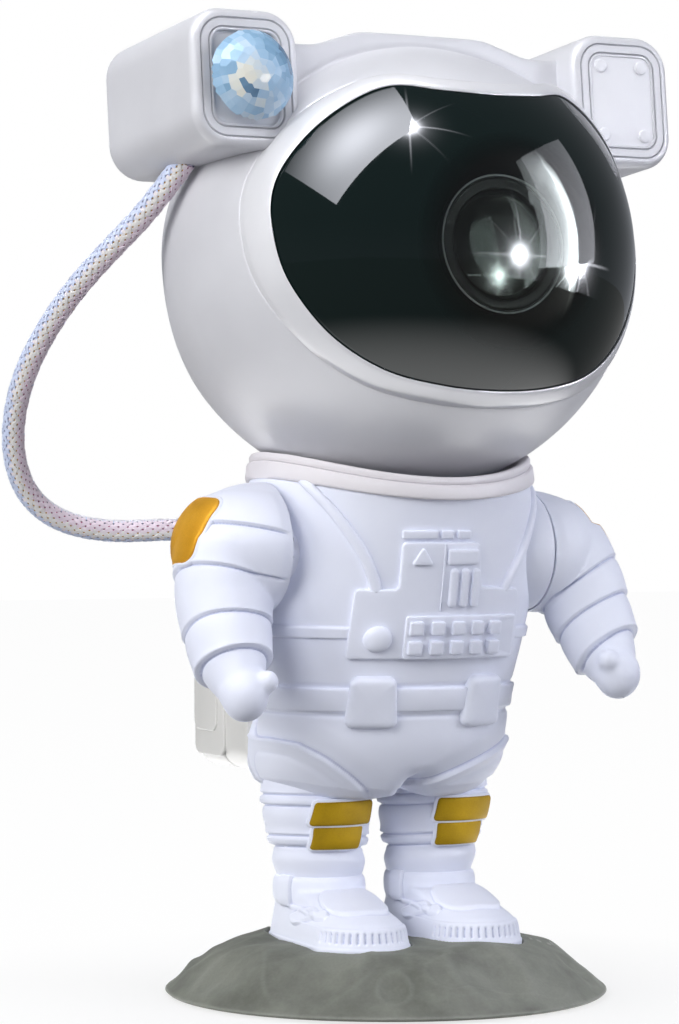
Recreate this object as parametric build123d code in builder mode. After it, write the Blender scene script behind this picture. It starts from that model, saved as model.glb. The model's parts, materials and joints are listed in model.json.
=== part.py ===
"""Star and nebula projector: a moulded space-suit figure on a rock base.

The helmet turns and tilts in a magnetic neck cup, the arms swing at the shoulders, a geared
ripple wheel turns behind the nebula lens, and three buttons travel in the backpack.

Frame: millimetres, +Z up, origin at the centre of the base's grip pad, on its underside.
The figure faces -Y, and its left hand is on +X. Pieces of the helmet are modelled about the
helmet's centre and then set at its pose, HEAD.
"""

import os
from math import atan2, cos, degrees, hypot, pi, radians, sin, tan

from build123d import *

os.makedirs("parts", exist_ok=True)

# ---------------------------------------------------------------- driving dimensions
WALL = 2.2  # moulded shells
FIT = 0.1  # gap round a piece that is set in a pocket
RUNNING = 0.06  # radial gap of a shaft in its bearing
AIR = 0.35  # gap between curved faces that slide past each other
EMBOSS = 0.8  # raised detail on the suit

# Rock base
BASE_RADIUS = 51.6
BASE_HEIGHT = 13.8
BASE_LIFT = 0.6  # rock rim above the table
BASE_LEVELS = ((0.0, 50.4), (1.6, 51.6), (4.6, 48.4), (8.6, 43.2), (11.6, 37.6), (13.2, 31.5))
PAD_RADIUS = 37.5
PAD_THICK = 1.5
COVER_THICK = 2.0
WEIGHT_RADIUS = 28.5
WEIGHT_THICK = 2.4
CAVITY_RADIUS = 30.0
BASE_SLOPE = 32.0  # the rock's flank, in degrees
CRATERS = (  # (turn in degrees, distance out, sphere's radius, depth)
    (-75, 42.0, 15.0, 1.8), (-120, 46.5, 8.0, 1.0), (187, 43.0, 13.0, 1.3),
    (84, 42.0, 14.0, 1.6), (22, 43.5, 10.0, 1.2),
)
SOLE_Z = 10.0  # the boots stand in hollows this high
BASE_BOSS_RING = 33.2
SCREW_RADIUS = 1.3
SCREW_HEAD_RADIUS = 2.5
SCREW_HEAD_HEIGHT = 1.4

# Boots and legs
BOOT_X = 14.5
HEEL_Y = 10.6
HEEL_RADIUS = 10.0
TOE_Y = -16.0
TOE_RADIUS = 11.0
SOLE_THICK = 3.2
TOE_TOP_Z = 18.0
CUFF_RADIUS = 10.8
CUFF_LOW_Z = 14.6
CUFF_TOP_Z = 28.3
ANKLE_Y = 6.5
INSTEP = (-12.0, 13.0)  # (y, z) of the tongue's foot
INSTEP_SIZE = (8.6, 10.0)
INSTEP_LENGTH = 12.0
ANKLE_SPIGOT_RADIUS = 6.0
ANKLE_SPIGOT_DEPTH = 5.0
HIP_X = 15.4
LEG_TOP_Z = 47.0
LEG_ROLLS = (
    (28.3, 10.0), (31.4, 10.9), (34.2, 10.7), (37.0, 12.0), (39.4, 11.8), (42.6, 13.0), (47.0, 12.6),
)
PATCH_RADIUS = 14.0
PATCH_HALF_ANGLE = 37.0
PATCH_TOP_Z = 45.8
PATCH_LOW_Z = 34.6
PATCH_THICK = 1.1

# Torso: (height, half width, half depth, centre's y)
TORSO = (
    (47.0, 28.4, 18.5, 5.4),
    (53.5, 30.6, 22.5, 5.0),
    (60.0, 31.0, 25.0, 4.4),
    (69.0, 29.4, 25.2, 2.8),
    (83.0, 32.0, 27.2, 1.0),
    (94.0, 33.6, 28.2, -0.4),
    (105.0, 33.4, 29.4, -1.4),
    (116.6, 32.0, 31.2, -1.7),
)
SHOULDER_Y = -5.6
SHOULDER_Z = 101.6
SHOULDER_X = 33.2  # face that the arm turns on
SHOULDER_RADIUS = 17.6
ARM_GAP = 0.3
ARM_PIN_RADIUS = 4.0
ARM_PIN_LENGTH = 8.0
CLIP_THICK = 1.6
BELT_LOW_Z = 66.4
BELT_TOP_Z = 72.1
BELT_THICK = 1.1
POUCH_ANGLE = 30.5
POUCH_WIDTH = 12.5
POUCH_LOW_Z = 62.8
POUCH_TOP_Z = 75.2
POUCH_THICK = 3.4
POUCH_CORNER = 2.0

# Chest panel
PANEL_THICK = 1.5
PANEL_LOW_Z = 78.6
PANEL_TOP_Z = 95.6
PANEL_HALF_WIDTH = 20.5
TOWER_HALF_WIDTH = 9.0
TOWER_TOP_Z = 109.2
KEY_SIZE = 2.7
KEY_PITCH = 4.9
KEY_COLUMNS = 5
KEY_ROWS = 2
KEYPAD_CENTRE = (5.6, 85.0)
KEYPAD_SIZE = (26.0, 10.0)
CHEST_KNOB_X = -12.4
CHEST_KNOB_Z = 84.0
CHEST_KNOB_RADIUS = 3.1
BAR_COUNT = 3
BAR_START = (2.4, 99.0)
BAR_PITCH = 2.4
BAR_SIZE = (1.4, 7.4)
WINDOW_PLACE = (4.8, 105.0)
WINDOW_SIZE = (7.0, 2.2)
TRIANGLE_PLACE = (-4.4, 103.6)
TRIANGLE_RADIUS = 2.6

# Arm: (x, y, z, radius) down its middle, as on the figure's left
ARM = (
    (45.6, -5.2, 98.5, 11.8),
    (46.8, -8.8, 90.5, 11.2),
    (47.6, -13.6, 83.0, 9.9),
    (48.2, -19.0, 76.4, 8.6),
)
SHOULDER_BULGE = 23.8  # how far the shoulder's dome stands out of its face
HAND = (48.2, -24.4, 70.6)
HAND_RADIUS = 8.0
THUMB = (42.2, -28.8, 69.2)
THUMB_RADIUS = 3.6
PATCH_GROW = 0.9
PATCH_SIZE = (13.0, 15.0)
PATCH_PLACE = (44.0, 0.4, 104.6)  # middle of the left shoulder patch, before it wraps the arm
PATCH_LEAN = 0.35

# Neck
NECK_Y = -1.7
COLLAR_RADIUS = 32.8
COLLAR_LOW_Z = 116.6
COLLAR_LIP_Z = 120.4  # step between the collar's band and its lip
COLLAR_STEP = 0.9
COLLAR_FRONT_Z = 121.5
COLLAR_SIDE_Z = 127.6
MAGNET_RADIUS = 10.0
MAGNET_LOW_Z = 112.6
CUP_LOW_Z = 108.6

# Helmet, about its own centre
HELMET_CENTRE = (0.0, -5.1, 174.0)
HELMET_YAW = 4.0
HELMET_PITCH = 6.0
DOME_LOW_RADIUS = 56.3
DOME_ROUND_BELOW = 35.0  # latitude under which the dome is a true sphere
DOME_SIDE_RADIUS = 54.9
DOME_TOP = 47.8
CREST_FRONT = 17.0
CREST_BACK = 19.0
CREST_TOP = 48.5
CREST_HALF_WIDTH = 16.8
BRIDGE_TOP = 44.6
BRIDGE_START = 28.0
BRIDGE_END = 40.5
BRIDGE_LOW = 26.0

# Visor: right half of its outline (x, z), and its bulge
VISOR_OUTLINE = (
    (0.0, 27.8), (12.0, 28.7), (22.4, 30.4), (31.6, 26.8), (40.4, 19.6), (46.3, 10.4),
    (47.9, 0.0), (45.6, -12.5), (38.2, -24.6), (27.2, -33.0), (14.0, -37.0), (0.0, -38.2),
)
VISOR_CENTRE = (0.0, -3.7, -2.0)
VISOR_RADIUS = 53.7
VISOR_THICK = 1.8
BEZEL_WIDTH = 3.2
BEZEL_PROUD = 0.5
BEZEL_DEPTH = 3.6
VISOR_BACK = 18.6  # nothing of the visor or its bezel lies behind this plane

# Ear boxes
EAR_X = 50.0
EAR_Z = 34.1
EAR_WIDTH = 27.0
EAR_HEIGHT = 31.5
EAR_FRONT = 24.2
EAR_BACK = 21.6
EAR_CORNER = 8.0
EAR_EDGE = 2.2
EAR_WALL = 2.0
FRAME_INSET = 2.1
INNER_INSET = 4.2
GROOVE_WIDTH = 0.5
GROOVE_DEPTH = 0.5
PLATE_DEPTH = 1.2
PLATE_WIDTH = 17.2
PLATE_HEIGHT = 21.8
PLATE_CORNER = 3.4
STUD_RADIUS = 1.6
STUD_SPAN = (11.3, 16.4)
STUD_HEIGHT = 0.7
DOME_LENS_RADIUS = 10.9
DOME_LENS_RISE = 8.0
DOME_LENS_SIDES = 20
DOME_LENS_ROWS = 5
DOME_LENS_WALL = 1.4
LED_BOARD_THICK = 1.4
STAR_BOARD_SIZE = (20.6, 11.5)

# Nebula optics
LENS_Z = -5.6
LENS_FRONT = 47.6
LENS_RING_RADIUS = 15.4
LENS_RADIUS = 12.6
LENS_THICK = 3.0
BARREL_WALL = 1.8
WHEEL_FRONT = 26.2
WHEEL_THICK = 4.0
RIPPLE_THICK = 1.4
GEAR_MODULE = 0.8
WHEEL_TEETH = 48
PINION_TEETH = 12
BACKLASH = 0.16
POST_RING = 24.6
POST_RADIUS = 2.0
FLANGE_RADIUS = 27.0
FLANGE_THICK = 2.0
FLANGE_FRONT = 32.0
BRACKET_FRONT = 3.0
BRACKET_THICK = 2.0
MOTOR_RADIUS = 6.0
MOTOR_LENGTH = 15.0
SHAFT_RADIUS = 0.8
SINK_DEPTH = 8.0
SINK_RADIUS = 10.5
EMITTER_SIZE = 3.2
EMITTER_PITCH = 4.4
EMITTER_THICK = 1.2
BOSS_RADIUS = 3.0
BOSS_UPPER = (27.0, 35.6)
BOSS_LOWER = (24.0, -41.2)
HEAD_SCREW_Y = 8.0  # plane behind the split that the heads bear on
HEAD_SCREW_BITE = 6.0
HEAD_BOARD = (44.0, 30.0, 1.6)
HEAD_BOARD_Y = 9.0
HEAD_BOARD_CHIPS = ((-8, 3, 10, 10, 1.6), (10, -4, 7, 5, 1.4), (8, 8, 4, 3, 2.4))
POST_ANGLES = (38, 142, 218, 322)
KEEPER_RADIUS = 11.0
KEEPER_THICK = 2.0

# Backpack
PACK_HALF_WIDTH = 27.0
PACK_FRONT = 18.0
PACK_SPLIT = 33.0
PACK_BACK = 50.0
PACK_LOW_Z = 53.0
PACK_TOP_Z = 118.0
PACK_CORNER = 6.0
PACK_EDGE = 3.0
PACK_BOSS_X = 17.5
PACK_SCREW_SINK = 3.0
SIDE_PANEL = (12.0, 20.0)
SIDE_PANEL_Z = 68.0
BUTTON_RADIUS = 4.2
BUTTON_ZS = (98.0, 86.0, 74.0)
BUTTON_PROUD = 1.6
BUTTON_THICK = 3.6
BUTTON_GAP = 0.15
SOCKET_SIZE = (9.0, 7.4, 3.3)
SOCKET_Z = 60.0
CONTROL_BOARD = (32.0, 1.6, 44.0)
CONTROL_BOARD_Y = 41.0

# Umbilical cable
CABLE_DIAMETER = 5.6
GLAND_RADIUS = 3.9
GLAND_LENGTH = 4.4
CABLE_UPPER = (
    (-55.9, -5.3, 190.6), (-60.0, 0.9, 182.6), (-65.9, 9.3, 174.2), (-71.2, 18.6, 165.5),
    (-75.3, 27.2, 155.9), (-77.8, 35.2, 145.9), (-78.0, 38.5, 140.6),
)
CABLE_LOWER = (
    (-78.0, 38.5, 140.6), (-78.2, 41.8, 135.3), (-76.2, 46.6, 125.2), (-71.2, 49.8, 116.6),
    (-63.0, 50.4, 110.9), (-51.7, 48.2, 108.5), (-39.8, 43.4, 109.0), (-28.4, 40.0, 109.4),
)

# ---------------------------------------------------------------- worked-out places
HEAD = Location(HELMET_CENTRE) * Rotation(0, 0, HELMET_YAW) * Rotation(-HELMET_PITCH, 0, 0)
NECK_AXIS_Y = HELMET_CENTRE[1]
DISH_RADIUS = DOME_LOW_RADIUS + AIR
COVER_LOW_Z = PAD_THICK
CAVITY_TOP_Z = SOLE_Z - WALL
WHEEL_PITCH_RADIUS = GEAR_MODULE * WHEEL_TEETH / 2
PINION_PITCH_RADIUS = GEAR_MODULE * PINION_TEETH / 2
PINION_Z = LENS_Z - WHEEL_PITCH_RADIUS - PINION_PITCH_RADIUS
BARREL_RADIUS = LENS_RADIUS + BARREL_WALL
JOURNAL_RADIUS = LENS_RADIUS + 0.4
WHEEL_BACK = WHEEL_FRONT - WHEEL_THICK
SIDES = {"right": -1, "left": 1}
SWITCH_HEIGHT = 2.4
BUTTON_TRAVEL = 1.0
BUTTON_SEAT_Y = CONTROL_BOARD_Y + CONTROL_BOARD[1] + SWITCH_HEIGHT + BUTTON_TRAVEL + FIT
BOARD_MIDDLE_Z = (PACK_LOW_Z + PACK_TOP_Z) / 2
PACK_BOSSES = [(s * PACK_BOSS_X, z) for s in (-1, 1) for z in (PACK_LOW_Z + 6.0, PACK_TOP_Z - 5.6)]
PACK_HOLLOW_FRONT = PACK_SPLIT - 4.0
BOARD_POSTS = [(s * 12.0, BOARD_MIDDLE_Z + t * 19.0) for s in (-1, 1) for t in (-1, 1)]
EAR_GLAND_PLANE = Plane(origin=CABLE_UPPER[0], z_dir=Vector(*CABLE_UPPER[1]) - Vector(*CABLE_UPPER[0]))
PACK_GLAND_PLANE = Plane(origin=CABLE_LOWER[-1], z_dir=Vector(*CABLE_LOWER[-2]) - Vector(*CABLE_LOWER[-1]))


# ---------------------------------------------------------------- shared forms
def front(depth):
    """Plane facing -Y at y = -depth, with x to the right and z up."""
    return Plane.XZ.offset(depth)


def behind(y):
    """Plane facing +Y at y, with x to the left and z up."""
    return Plane(origin=(0, y, 0), x_dir=(-1, 0, 0), z_dir=(0, 1, 0))


def shoulder_plane(side, x=SHOULDER_X, outwards=True):
    """Plane square to one shoulder's axis, at x from the figure's middle."""
    facing = side if outwards else -side
    return Plane(origin=(side * x, SHOULDER_Y, SHOULDER_Z), z_dir=(facing, 0, 0))


def slab(low, high):
    """Every point with z between low and high."""
    reach = 400
    with BuildPart() as form:
        with BuildSketch(Plane.XY.offset(low)):
            Rectangle(reach, reach)
        extrude(amount=high - low)
    return form.part


def half_space(plane, reach=200.0):
    """Everything on the side of a plane that its normal points to."""
    with BuildPart() as form:
        with BuildSketch(plane):
            Rectangle(2 * reach, 2 * reach)
        extrude(amount=reach)
    return form.part


def ball(centre, radius):
    """Sphere at a place."""
    with BuildPart() as form:
        with Locations(centre):
            Sphere(radius)
    return form.part


def post(plane, radius, length):
    """Round post that stands on a plane."""
    with BuildPart() as form:
        with BuildSketch(plane):
            Circle(radius)
        extrude(amount=length)
    return form.part


def dome(grow=0.0):
    """The helmet's dome: a sphere below, tighter at the ears' height and flatter on top."""
    low = DOME_LOW_RADIUS + grow
    side = DOME_SIDE_RADIUS + grow
    with BuildPart() as form:
        with BuildSketch(Plane.YZ):
            with BuildLine():
                under = CenterArc((0, 0), low, -90, 90 - DOME_ROUND_BELOW)
                cheek = Spline(under @ 1, (side, 0), tangents=(under % 1, (0, 1)))
                crown = EllipticalCenterArc((0, 0), side, DOME_TOP + grow, start_angle=0, arc_size=90)
                Line(crown @ 1, under @ 0)
            make_face()
        revolve(axis=Axis.Z)
    return form.part


def bulge(grow=0.0):
    """The visor's sphere, which is a little tighter than the helmet's and set forwards."""
    return ball(VISOR_CENTRE, VISOR_RADIUS + grow)


def visor_prism(grow, back=VISOR_BACK):
    """Straight prism of the visor's outline, grown all round, from y = -back forwards."""
    half = [Vector(x, z) for x, z in VISOR_OUTLINE]
    ring = half + [Vector(-point.X, point.Y) for point in reversed(half[1:-1])]
    grown = []
    for index, point in enumerate(ring):
        along = (ring[(index + 1) % len(ring)] - ring[index - 1]).normalized()
        grown.append(point + Vector(-along.Y, along.X) * grow)
    with BuildPart() as form:
        with BuildSketch(front(back)):
            with BuildLine():
                Spline(*grown, periodic=True)
            make_face()
        extrude(amount=DOME_SIDE_RADIUS)
    return form.part


def crest():
    """Raised band over the crown that links the two ear boxes, flat in front."""
    half = ((CREST_HALF_WIDTH, CREST_TOP), (BRIDGE_START, BRIDGE_TOP), (BRIDGE_END, BRIDGE_TOP))
    low = ((BRIDGE_END, BRIDGE_LOW), (-BRIDGE_END, BRIDGE_LOW))
    mirrored = [(-x, z) for x, z in reversed(half)]
    with BuildPart() as form:
        with BuildSketch(front(CREST_FRONT)):
            Polygon(*half, *low, *mirrored, align=None)
        extrude(amount=-(CREST_FRONT + CREST_BACK))
    return form.part


def ellipsoid_cap(face, radii):
    """Half an ellipsoid that stands on the plane x = face, about the left shoulder's axis."""
    with BuildPart() as form:
        with BuildSketch(Plane.XY.offset(SHOULDER_Z)):
            with BuildLine():
                rim = Line((face, SHOULDER_Y), (face, SHOULDER_Y + radii[1]))
                over = EllipticalCenterArc((face, SHOULDER_Y), *radii, start_angle=0, arc_size=90)
                Line(over @ 0, rim @ 0)
            make_face()
        revolve(axis=Axis((0, SHOULDER_Y, SHOULDER_Z), (1, 0, 0)))
    return form.part


def helmet_form():
    """Dome and crest, hollow, with no openings yet."""
    with BuildPart() as form:
        add(dome())
        add(crest())
        add(dome(-WALL), mode=Mode.SUBTRACT)
    return form.part


def torso_form(grow=0.0):
    """The suit's trunk with its shoulder yoke, grown outwards by grow."""
    with BuildPart() as form:
        for height, half_width, half_depth, centre_y in TORSO:
            with BuildSketch(Plane((0, centre_y, height))):
                Ellipse(half_width + grow, half_depth + grow)
        loft()
        with BuildSketch(Plane(origin=(-SHOULDER_X, SHOULDER_Y, SHOULDER_Z), z_dir=(1, 0, 0))):
            Circle(SHOULDER_RADIUS + grow)
        extrude(amount=2 * SHOULDER_X)
        if grow >= 0:
            for side in SIDES.values():
                add(post(shoulder_plane(side), 3 * SHOULDER_RADIUS, SHOULDER_X), mode=Mode.SUBTRACT)
    return form.part


def gear_outline(teeth, shrink):
    """Points of a straight-flanked gear, thinned by shrink on each flank."""
    pitch_radius = GEAR_MODULE * teeth / 2
    tip, root = pitch_radius + GEAR_MODULE, pitch_radius - 1.2 * GEAR_MODULE
    points = []
    for tooth in range(teeth):
        middle = 2 * pi * tooth / teeth
        for radius, flank in ((root, 1.45), (tip, 0.36), (tip, -0.36), (root, -1.45)):
            half = (pi * GEAR_MODULE / 4 - shrink) * abs(flank) / radius
            angle = middle - half if flank > 0 else middle + half
            points.append((radius * cos(angle), radius * sin(angle)))
    return points


def cable_tube(route):
    """Round tube along a route's straight runs, with each corner as wide as its runs allow."""
    places = [Vector(*point) for point in route]
    runs = [after - before for before, after in zip(places, places[1:])]
    radii = []
    for before, after in zip(runs, runs[1:]):
        half_turn = radians(before.get_angle(after)) / 2
        radii.append(0.45 * min(before.length, after.length) / tan(half_turn))
    print("cable corner radii", [round(radius, 1) for radius in radii])
    with BuildPart() as form:
        with BuildLine() as line:
            FilletPolyline(*places, radius=radii)
        with BuildSketch(Plane(origin=places[0], z_dir=runs[0])):
            Circle(CABLE_DIAMETER / 2)
        sweep()
    section = pi * CABLE_DIAMETER**2 / 4
    length = line.wire().length
    print("cable length", round(length, 1), "volume ratio", round(form.part.volume / section / length, 4))
    return form.part


# ---------------------------------------------------------------- rock base
def rock_outline(radius):
    """Closed, uneven outline of the rock at one level."""
    points = []
    for step in range(24):
        turn = 2 * pi * step / 24
        uneven = 1 + 0.012 * sin(3 * turn + 0.6) + 0.010 * sin(5 * turn + 2.1) - 0.022
        points.append((radius * uneven * cos(turn), radius * uneven * sin(turn)))
    return points


def boot_outline(grow=0.0):
    """Sole outline on the sketch plane: a heel circle and a toe circle with their tangents."""
    with BuildSketch(Plane.XY) as outline:
        with Locations((0, HEEL_Y)):
            Circle(HEEL_RADIUS + grow)
        with Locations((0, TOE_Y)):
            Circle(TOE_RADIUS + grow)
        make_hull()
    return outline.sketch


with BuildPart() as moon_base:
    for height, radius in BASE_LEVELS:
        level = BASE_LIFT + height * (BASE_HEIGHT - BASE_LIFT) / BASE_LEVELS[-1][0]
        with BuildSketch(Plane.XY.offset(level)):
            with BuildLine():
                Spline(*rock_outline(radius), periodic=True)
            make_face()
    loft()
    with BuildSketch(Plane.XY.offset(BASE_LIFT)):
        Circle(CAVITY_RADIUS)
    extrude(amount=CAVITY_TOP_Z - BASE_LIFT, mode=Mode.SUBTRACT)
    with BuildSketch(Plane.XY.offset(BASE_LIFT)):
        Circle(PAD_RADIUS + FIT)
    extrude(amount=COVER_LOW_Z + COVER_THICK - BASE_LIFT, mode=Mode.SUBTRACT)
    for side in SIDES.values():
        with BuildSketch(Plane((side * BOOT_X, 0, SOLE_Z))):
            add(boot_outline(FIT))
        extrude(amount=BASE_HEIGHT, mode=Mode.SUBTRACT)
        for y in (HEEL_Y, TOE_Y):
            with BuildSketch(Plane((side * BOOT_X, y, 0))):
                Circle(SCREW_RADIUS + FIT)
            extrude(amount=BASE_HEIGHT, mode=Mode.SUBTRACT)
    with BuildSketch(Plane.XY):
        with PolarLocations(BASE_BOSS_RING, 3, start_angle=90):
            Circle(SCREW_RADIUS)
    extrude(amount=CAVITY_TOP_Z - 1, mode=Mode.SUBTRACT)
    for turn, out, radius, depth in CRATERS:
        slope = Vector(0, 0, 1).rotate(Axis.Y, BASE_SLOPE).rotate(Axis.Z, turn)
        ground = BASE_LIFT + (BASE_RADIUS - out) * tan(radians(BASE_SLOPE))
        rim = Vector(out * cos(radians(turn)), out * sin(radians(turn)), ground)
        with Locations(rim + slope * (radius - depth)):
            Sphere(radius, mode=Mode.SUBTRACT)
moon_base.part.label = "moon_base"
export_step(moon_base.part, "parts/moon_base.step")

with BuildPart() as grip_pad:
    with BuildSketch(Plane.XY):
        Circle(PAD_RADIUS)
    extrude(amount=PAD_THICK)
grip_pad.part.label = "grip_pad"
export_step(grip_pad.part, "parts/grip_pad.step")

with BuildPart() as bottom_cover:
    with BuildSketch(Plane.XY.offset(COVER_LOW_Z)):
        Circle(PAD_RADIUS)
    extrude(amount=COVER_THICK)
    with BuildSketch(Plane.XY.offset(COVER_LOW_Z)):
        with PolarLocations(BASE_BOSS_RING, 3, start_angle=90):
            Circle(SCREW_HEAD_RADIUS + FIT)
    extrude(amount=SCREW_HEAD_HEIGHT, mode=Mode.SUBTRACT)
    with BuildSketch(Plane.XY.offset(COVER_LOW_Z)):
        with PolarLocations(BASE_BOSS_RING, 3, start_angle=90):
            Circle(SCREW_RADIUS + FIT)
    extrude(amount=COVER_THICK, mode=Mode.SUBTRACT)
bottom_cover.part.label = "bottom_cover"
export_step(bottom_cover.part, "parts/bottom_cover.step")

with BuildPart() as base_weight:
    with BuildSketch(Plane.XY.offset(COVER_LOW_Z + COVER_THICK)):
        Circle(WEIGHT_RADIUS)
    extrude(amount=WEIGHT_THICK)
base_weight.part.label = "base_weight"
export_step(base_weight.part, "parts/base_weight.step")

with BuildPart() as base_screws:
    with BuildSketch(Plane.XY.offset(COVER_LOW_Z)):
        with PolarLocations(BASE_BOSS_RING, 3, start_angle=90):
            Circle(SCREW_HEAD_RADIUS)
    extrude(amount=SCREW_HEAD_HEIGHT)
    with BuildSketch(Plane.XY.offset(COVER_LOW_Z)):
        with PolarLocations(BASE_BOSS_RING, 3, start_angle=90):
            Circle(SCREW_RADIUS)
    extrude(amount=CAVITY_TOP_Z - COVER_LOW_Z - 1.5)
    boot_screws = [(side * BOOT_X, y) for side in SIDES.values() for y in (HEEL_Y, TOE_Y)]
    with BuildSketch(Plane.XY.offset(CAVITY_TOP_Z - SCREW_HEAD_HEIGHT)):
        with Locations(boot_screws):
            Circle(SCREW_HEAD_RADIUS)
    extrude(amount=SCREW_HEAD_HEIGHT)
    with BuildSketch(Plane.XY.offset(CAVITY_TOP_Z - SCREW_HEAD_HEIGHT)):
        with Locations(boot_screws):
            Circle(SCREW_RADIUS)
    extrude(amount=SCREW_HEAD_HEIGHT + WALL + SOLE_THICK)
base_screws.part.label = "base_screws"
export_step(base_screws.part, "parts/base_screws.step")


# ---------------------------------------------------------------- boots and legs
for side_name, side in SIDES.items():
    with BuildPart() as boot:
        with BuildSketch(Plane((side * BOOT_X, 0, SOLE_Z))):
            add(boot_outline())
        extrude(amount=SOLE_THICK)
        with BuildSketch(Plane((side * BOOT_X, 0, SOLE_Z + SOLE_THICK))):
            add(boot_outline(-0.8))
        extrude(amount=TOE_TOP_Z - SOLE_Z - SOLE_THICK)
        fillet(boot.edges().group_by(Axis.Z)[-1], radius=3.4)
        with BuildSketch(Plane((side * BOOT_X, ANKLE_Y, CUFF_LOW_Z))):
            Circle(CUFF_RADIUS)
        extrude(amount=CUFF_TOP_Z - CUFF_LOW_Z)
        with BuildSketch(Plane(origin=(side * BOOT_X, *INSTEP), z_dir=(0, 0.62, 0.78))):
            Ellipse(*INSTEP_SIZE)
        extrude(amount=INSTEP_LENGTH, taper=18)
        add(slab(SOLE_Z, CUFF_TOP_Z), mode=Mode.INTERSECT)
        with BuildSketch(Plane((side * BOOT_X, ANKLE_Y, CUFF_TOP_Z - ANKLE_SPIGOT_DEPTH - FIT))):
            Circle(ANKLE_SPIGOT_RADIUS + FIT)
        extrude(amount=ANKLE_SPIGOT_DEPTH + FIT, mode=Mode.SUBTRACT)
        for y in (HEEL_Y, TOE_Y):
            with BuildSketch(Plane((side * BOOT_X, y, SOLE_Z))):
                Circle(SCREW_RADIUS)
            extrude(amount=SOLE_THICK, mode=Mode.SUBTRACT)
    boot.part.label = f"{side_name}_boot"
    export_step(boot.part, f"parts/{side_name}_boot.step")


def leg_form(side, grow=0.0):
    """One padded trouser leg with its rolls, round about an upright axis."""
    foot = Vector(side * BOOT_X, ANKLE_Y, CUFF_TOP_Z)
    hip = Vector(side * HIP_X, ANKLE_Y, LEG_TOP_Z)
    with BuildPart() as form:
        for height, radius in LEG_ROLLS:
            share = (height - CUFF_TOP_Z) / (LEG_TOP_Z - CUFF_TOP_Z)
            centre = foot + (hip - foot) * share
            with BuildSketch(Plane((centre.X, centre.Y, height))):
                Circle(radius + grow)
        loft(ruled=True)
    return form.part


for side_name, side in SIDES.items():
    with BuildPart() as leg:
        add(leg_form(side))
        with BuildSketch(Plane((side * BOOT_X, ANKLE_Y, CUFF_TOP_Z - ANKLE_SPIGOT_DEPTH))):
            Circle(ANKLE_SPIGOT_RADIUS)
        extrude(amount=ANKLE_SPIGOT_DEPTH)
    leg.part.label = f"{side_name}_leg"
    export_step(leg.part, f"parts/{side_name}_leg.step")

    with BuildPart() as knee_patch:
        with BuildSketch(Plane((side * HIP_X, ANKLE_Y - PATCH_RADIUS, PATCH_LOW_Z))):
            Rectangle(2 * PATCH_RADIUS * sin(radians(PATCH_HALF_ANGLE)), PATCH_RADIUS)
        extrude(amount=PATCH_TOP_Z - PATCH_LOW_Z)
        add(leg_form(side, PATCH_THICK), mode=Mode.INTERSECT)
        add(leg_form(side), mode=Mode.SUBTRACT)
    knee_patch.part.label = f"{side_name}_knee_patch"
    export_step(knee_patch.part, f"parts/{side_name}_knee_patch.step")


# ---------------------------------------------------------------- torso shells
def torso_core():
    """The trunk's hollow, closed below at the hips and above under the neck cup."""
    with BuildPart() as form:
        add(torso_form(-WALL))
        add(slab(TORSO[0][0] + WALL, CUP_LOW_Z), mode=Mode.INTERSECT)
    return form.part


def torso_shell():
    """Hollow trunk, still in one, with its arm bearings and the neck cup's seat."""
    with BuildPart() as form:
        add(torso_form())
        add(torso_core(), mode=Mode.SUBTRACT)
        with BuildSketch(Plane((0, NECK_AXIS_Y, CUP_LOW_Z))):
            Circle(MAGNET_RADIUS + 2 * WALL + FIT)
        extrude(amount=COLLAR_SIDE_Z - CUP_LOW_Z, mode=Mode.SUBTRACT)
        for side in SIDES.values():
            inwards = shoulder_plane(side, outwards=False)
            with BuildSketch(inwards):
                Circle(ARM_PIN_RADIUS + 2 * WALL)
            extrude(amount=ARM_PIN_LENGTH - 2 * FIT)
            with BuildSketch(inwards):
                Circle(ARM_PIN_RADIUS + RUNNING)
            extrude(amount=ARM_PIN_LENGTH, mode=Mode.SUBTRACT)
        add(ball(HELMET_CENTRE, DISH_RADIUS), mode=Mode.SUBTRACT)
    return form.part


TRUNK = torso_shell()
TRUNK_SOLID = torso_form()
with BuildPart() as torso_front:
    add(TRUNK)
    add(half_space(front(-SHOULDER_Y)), mode=Mode.INTERSECT)
torso_front.part.label = "torso_front"
export_step(torso_front.part, "parts/torso_front.step")

with BuildPart() as torso_rear:
    add(TRUNK)
    add(half_space(behind(SHOULDER_Y)), mode=Mode.INTERSECT)
torso_rear.part.label = "torso_rear"
export_step(torso_rear.part, "parts/torso_rear.step")

with BuildPart() as belt:
    add(torso_form(BELT_THICK))
    add(slab(BELT_LOW_Z, BELT_TOP_Z), mode=Mode.INTERSECT)
    add(TRUNK_SOLID, mode=Mode.SUBTRACT)
belt.part.label = "belt"
export_step(belt.part, "parts/belt.step")

with BuildPart() as belt_pouches:
    for side in SIDES.values():
        facing = Vector(side * sin(radians(POUCH_ANGLE)), -cos(radians(POUCH_ANGLE)), 0)
        middle = (0, 0, (POUCH_LOW_Z + POUCH_TOP_Z) / 2)
        with BuildSketch(Plane(origin=middle, x_dir=(0, 0, 1), z_dir=facing)):
            RectangleRounded(POUCH_TOP_Z - POUCH_LOW_Z, POUCH_WIDTH, POUCH_CORNER)
        extrude(amount=60)
    add(torso_form(POUCH_THICK), mode=Mode.INTERSECT)
    add(torso_form(BELT_THICK), mode=Mode.SUBTRACT)
belt_pouches.part.label = "belt_pouches"
export_step(belt_pouches.part, "parts/belt_pouches.step")


# ---------------------------------------------------------------- chest panel
def chest_prism(sketch, reach=60.0):
    """Prism of a front-view sketch, from the figure's middle forwards."""
    with BuildPart() as form:
        with BuildSketch(front(0)):
            add(sketch)
        extrude(amount=reach)
    return form.part


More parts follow.
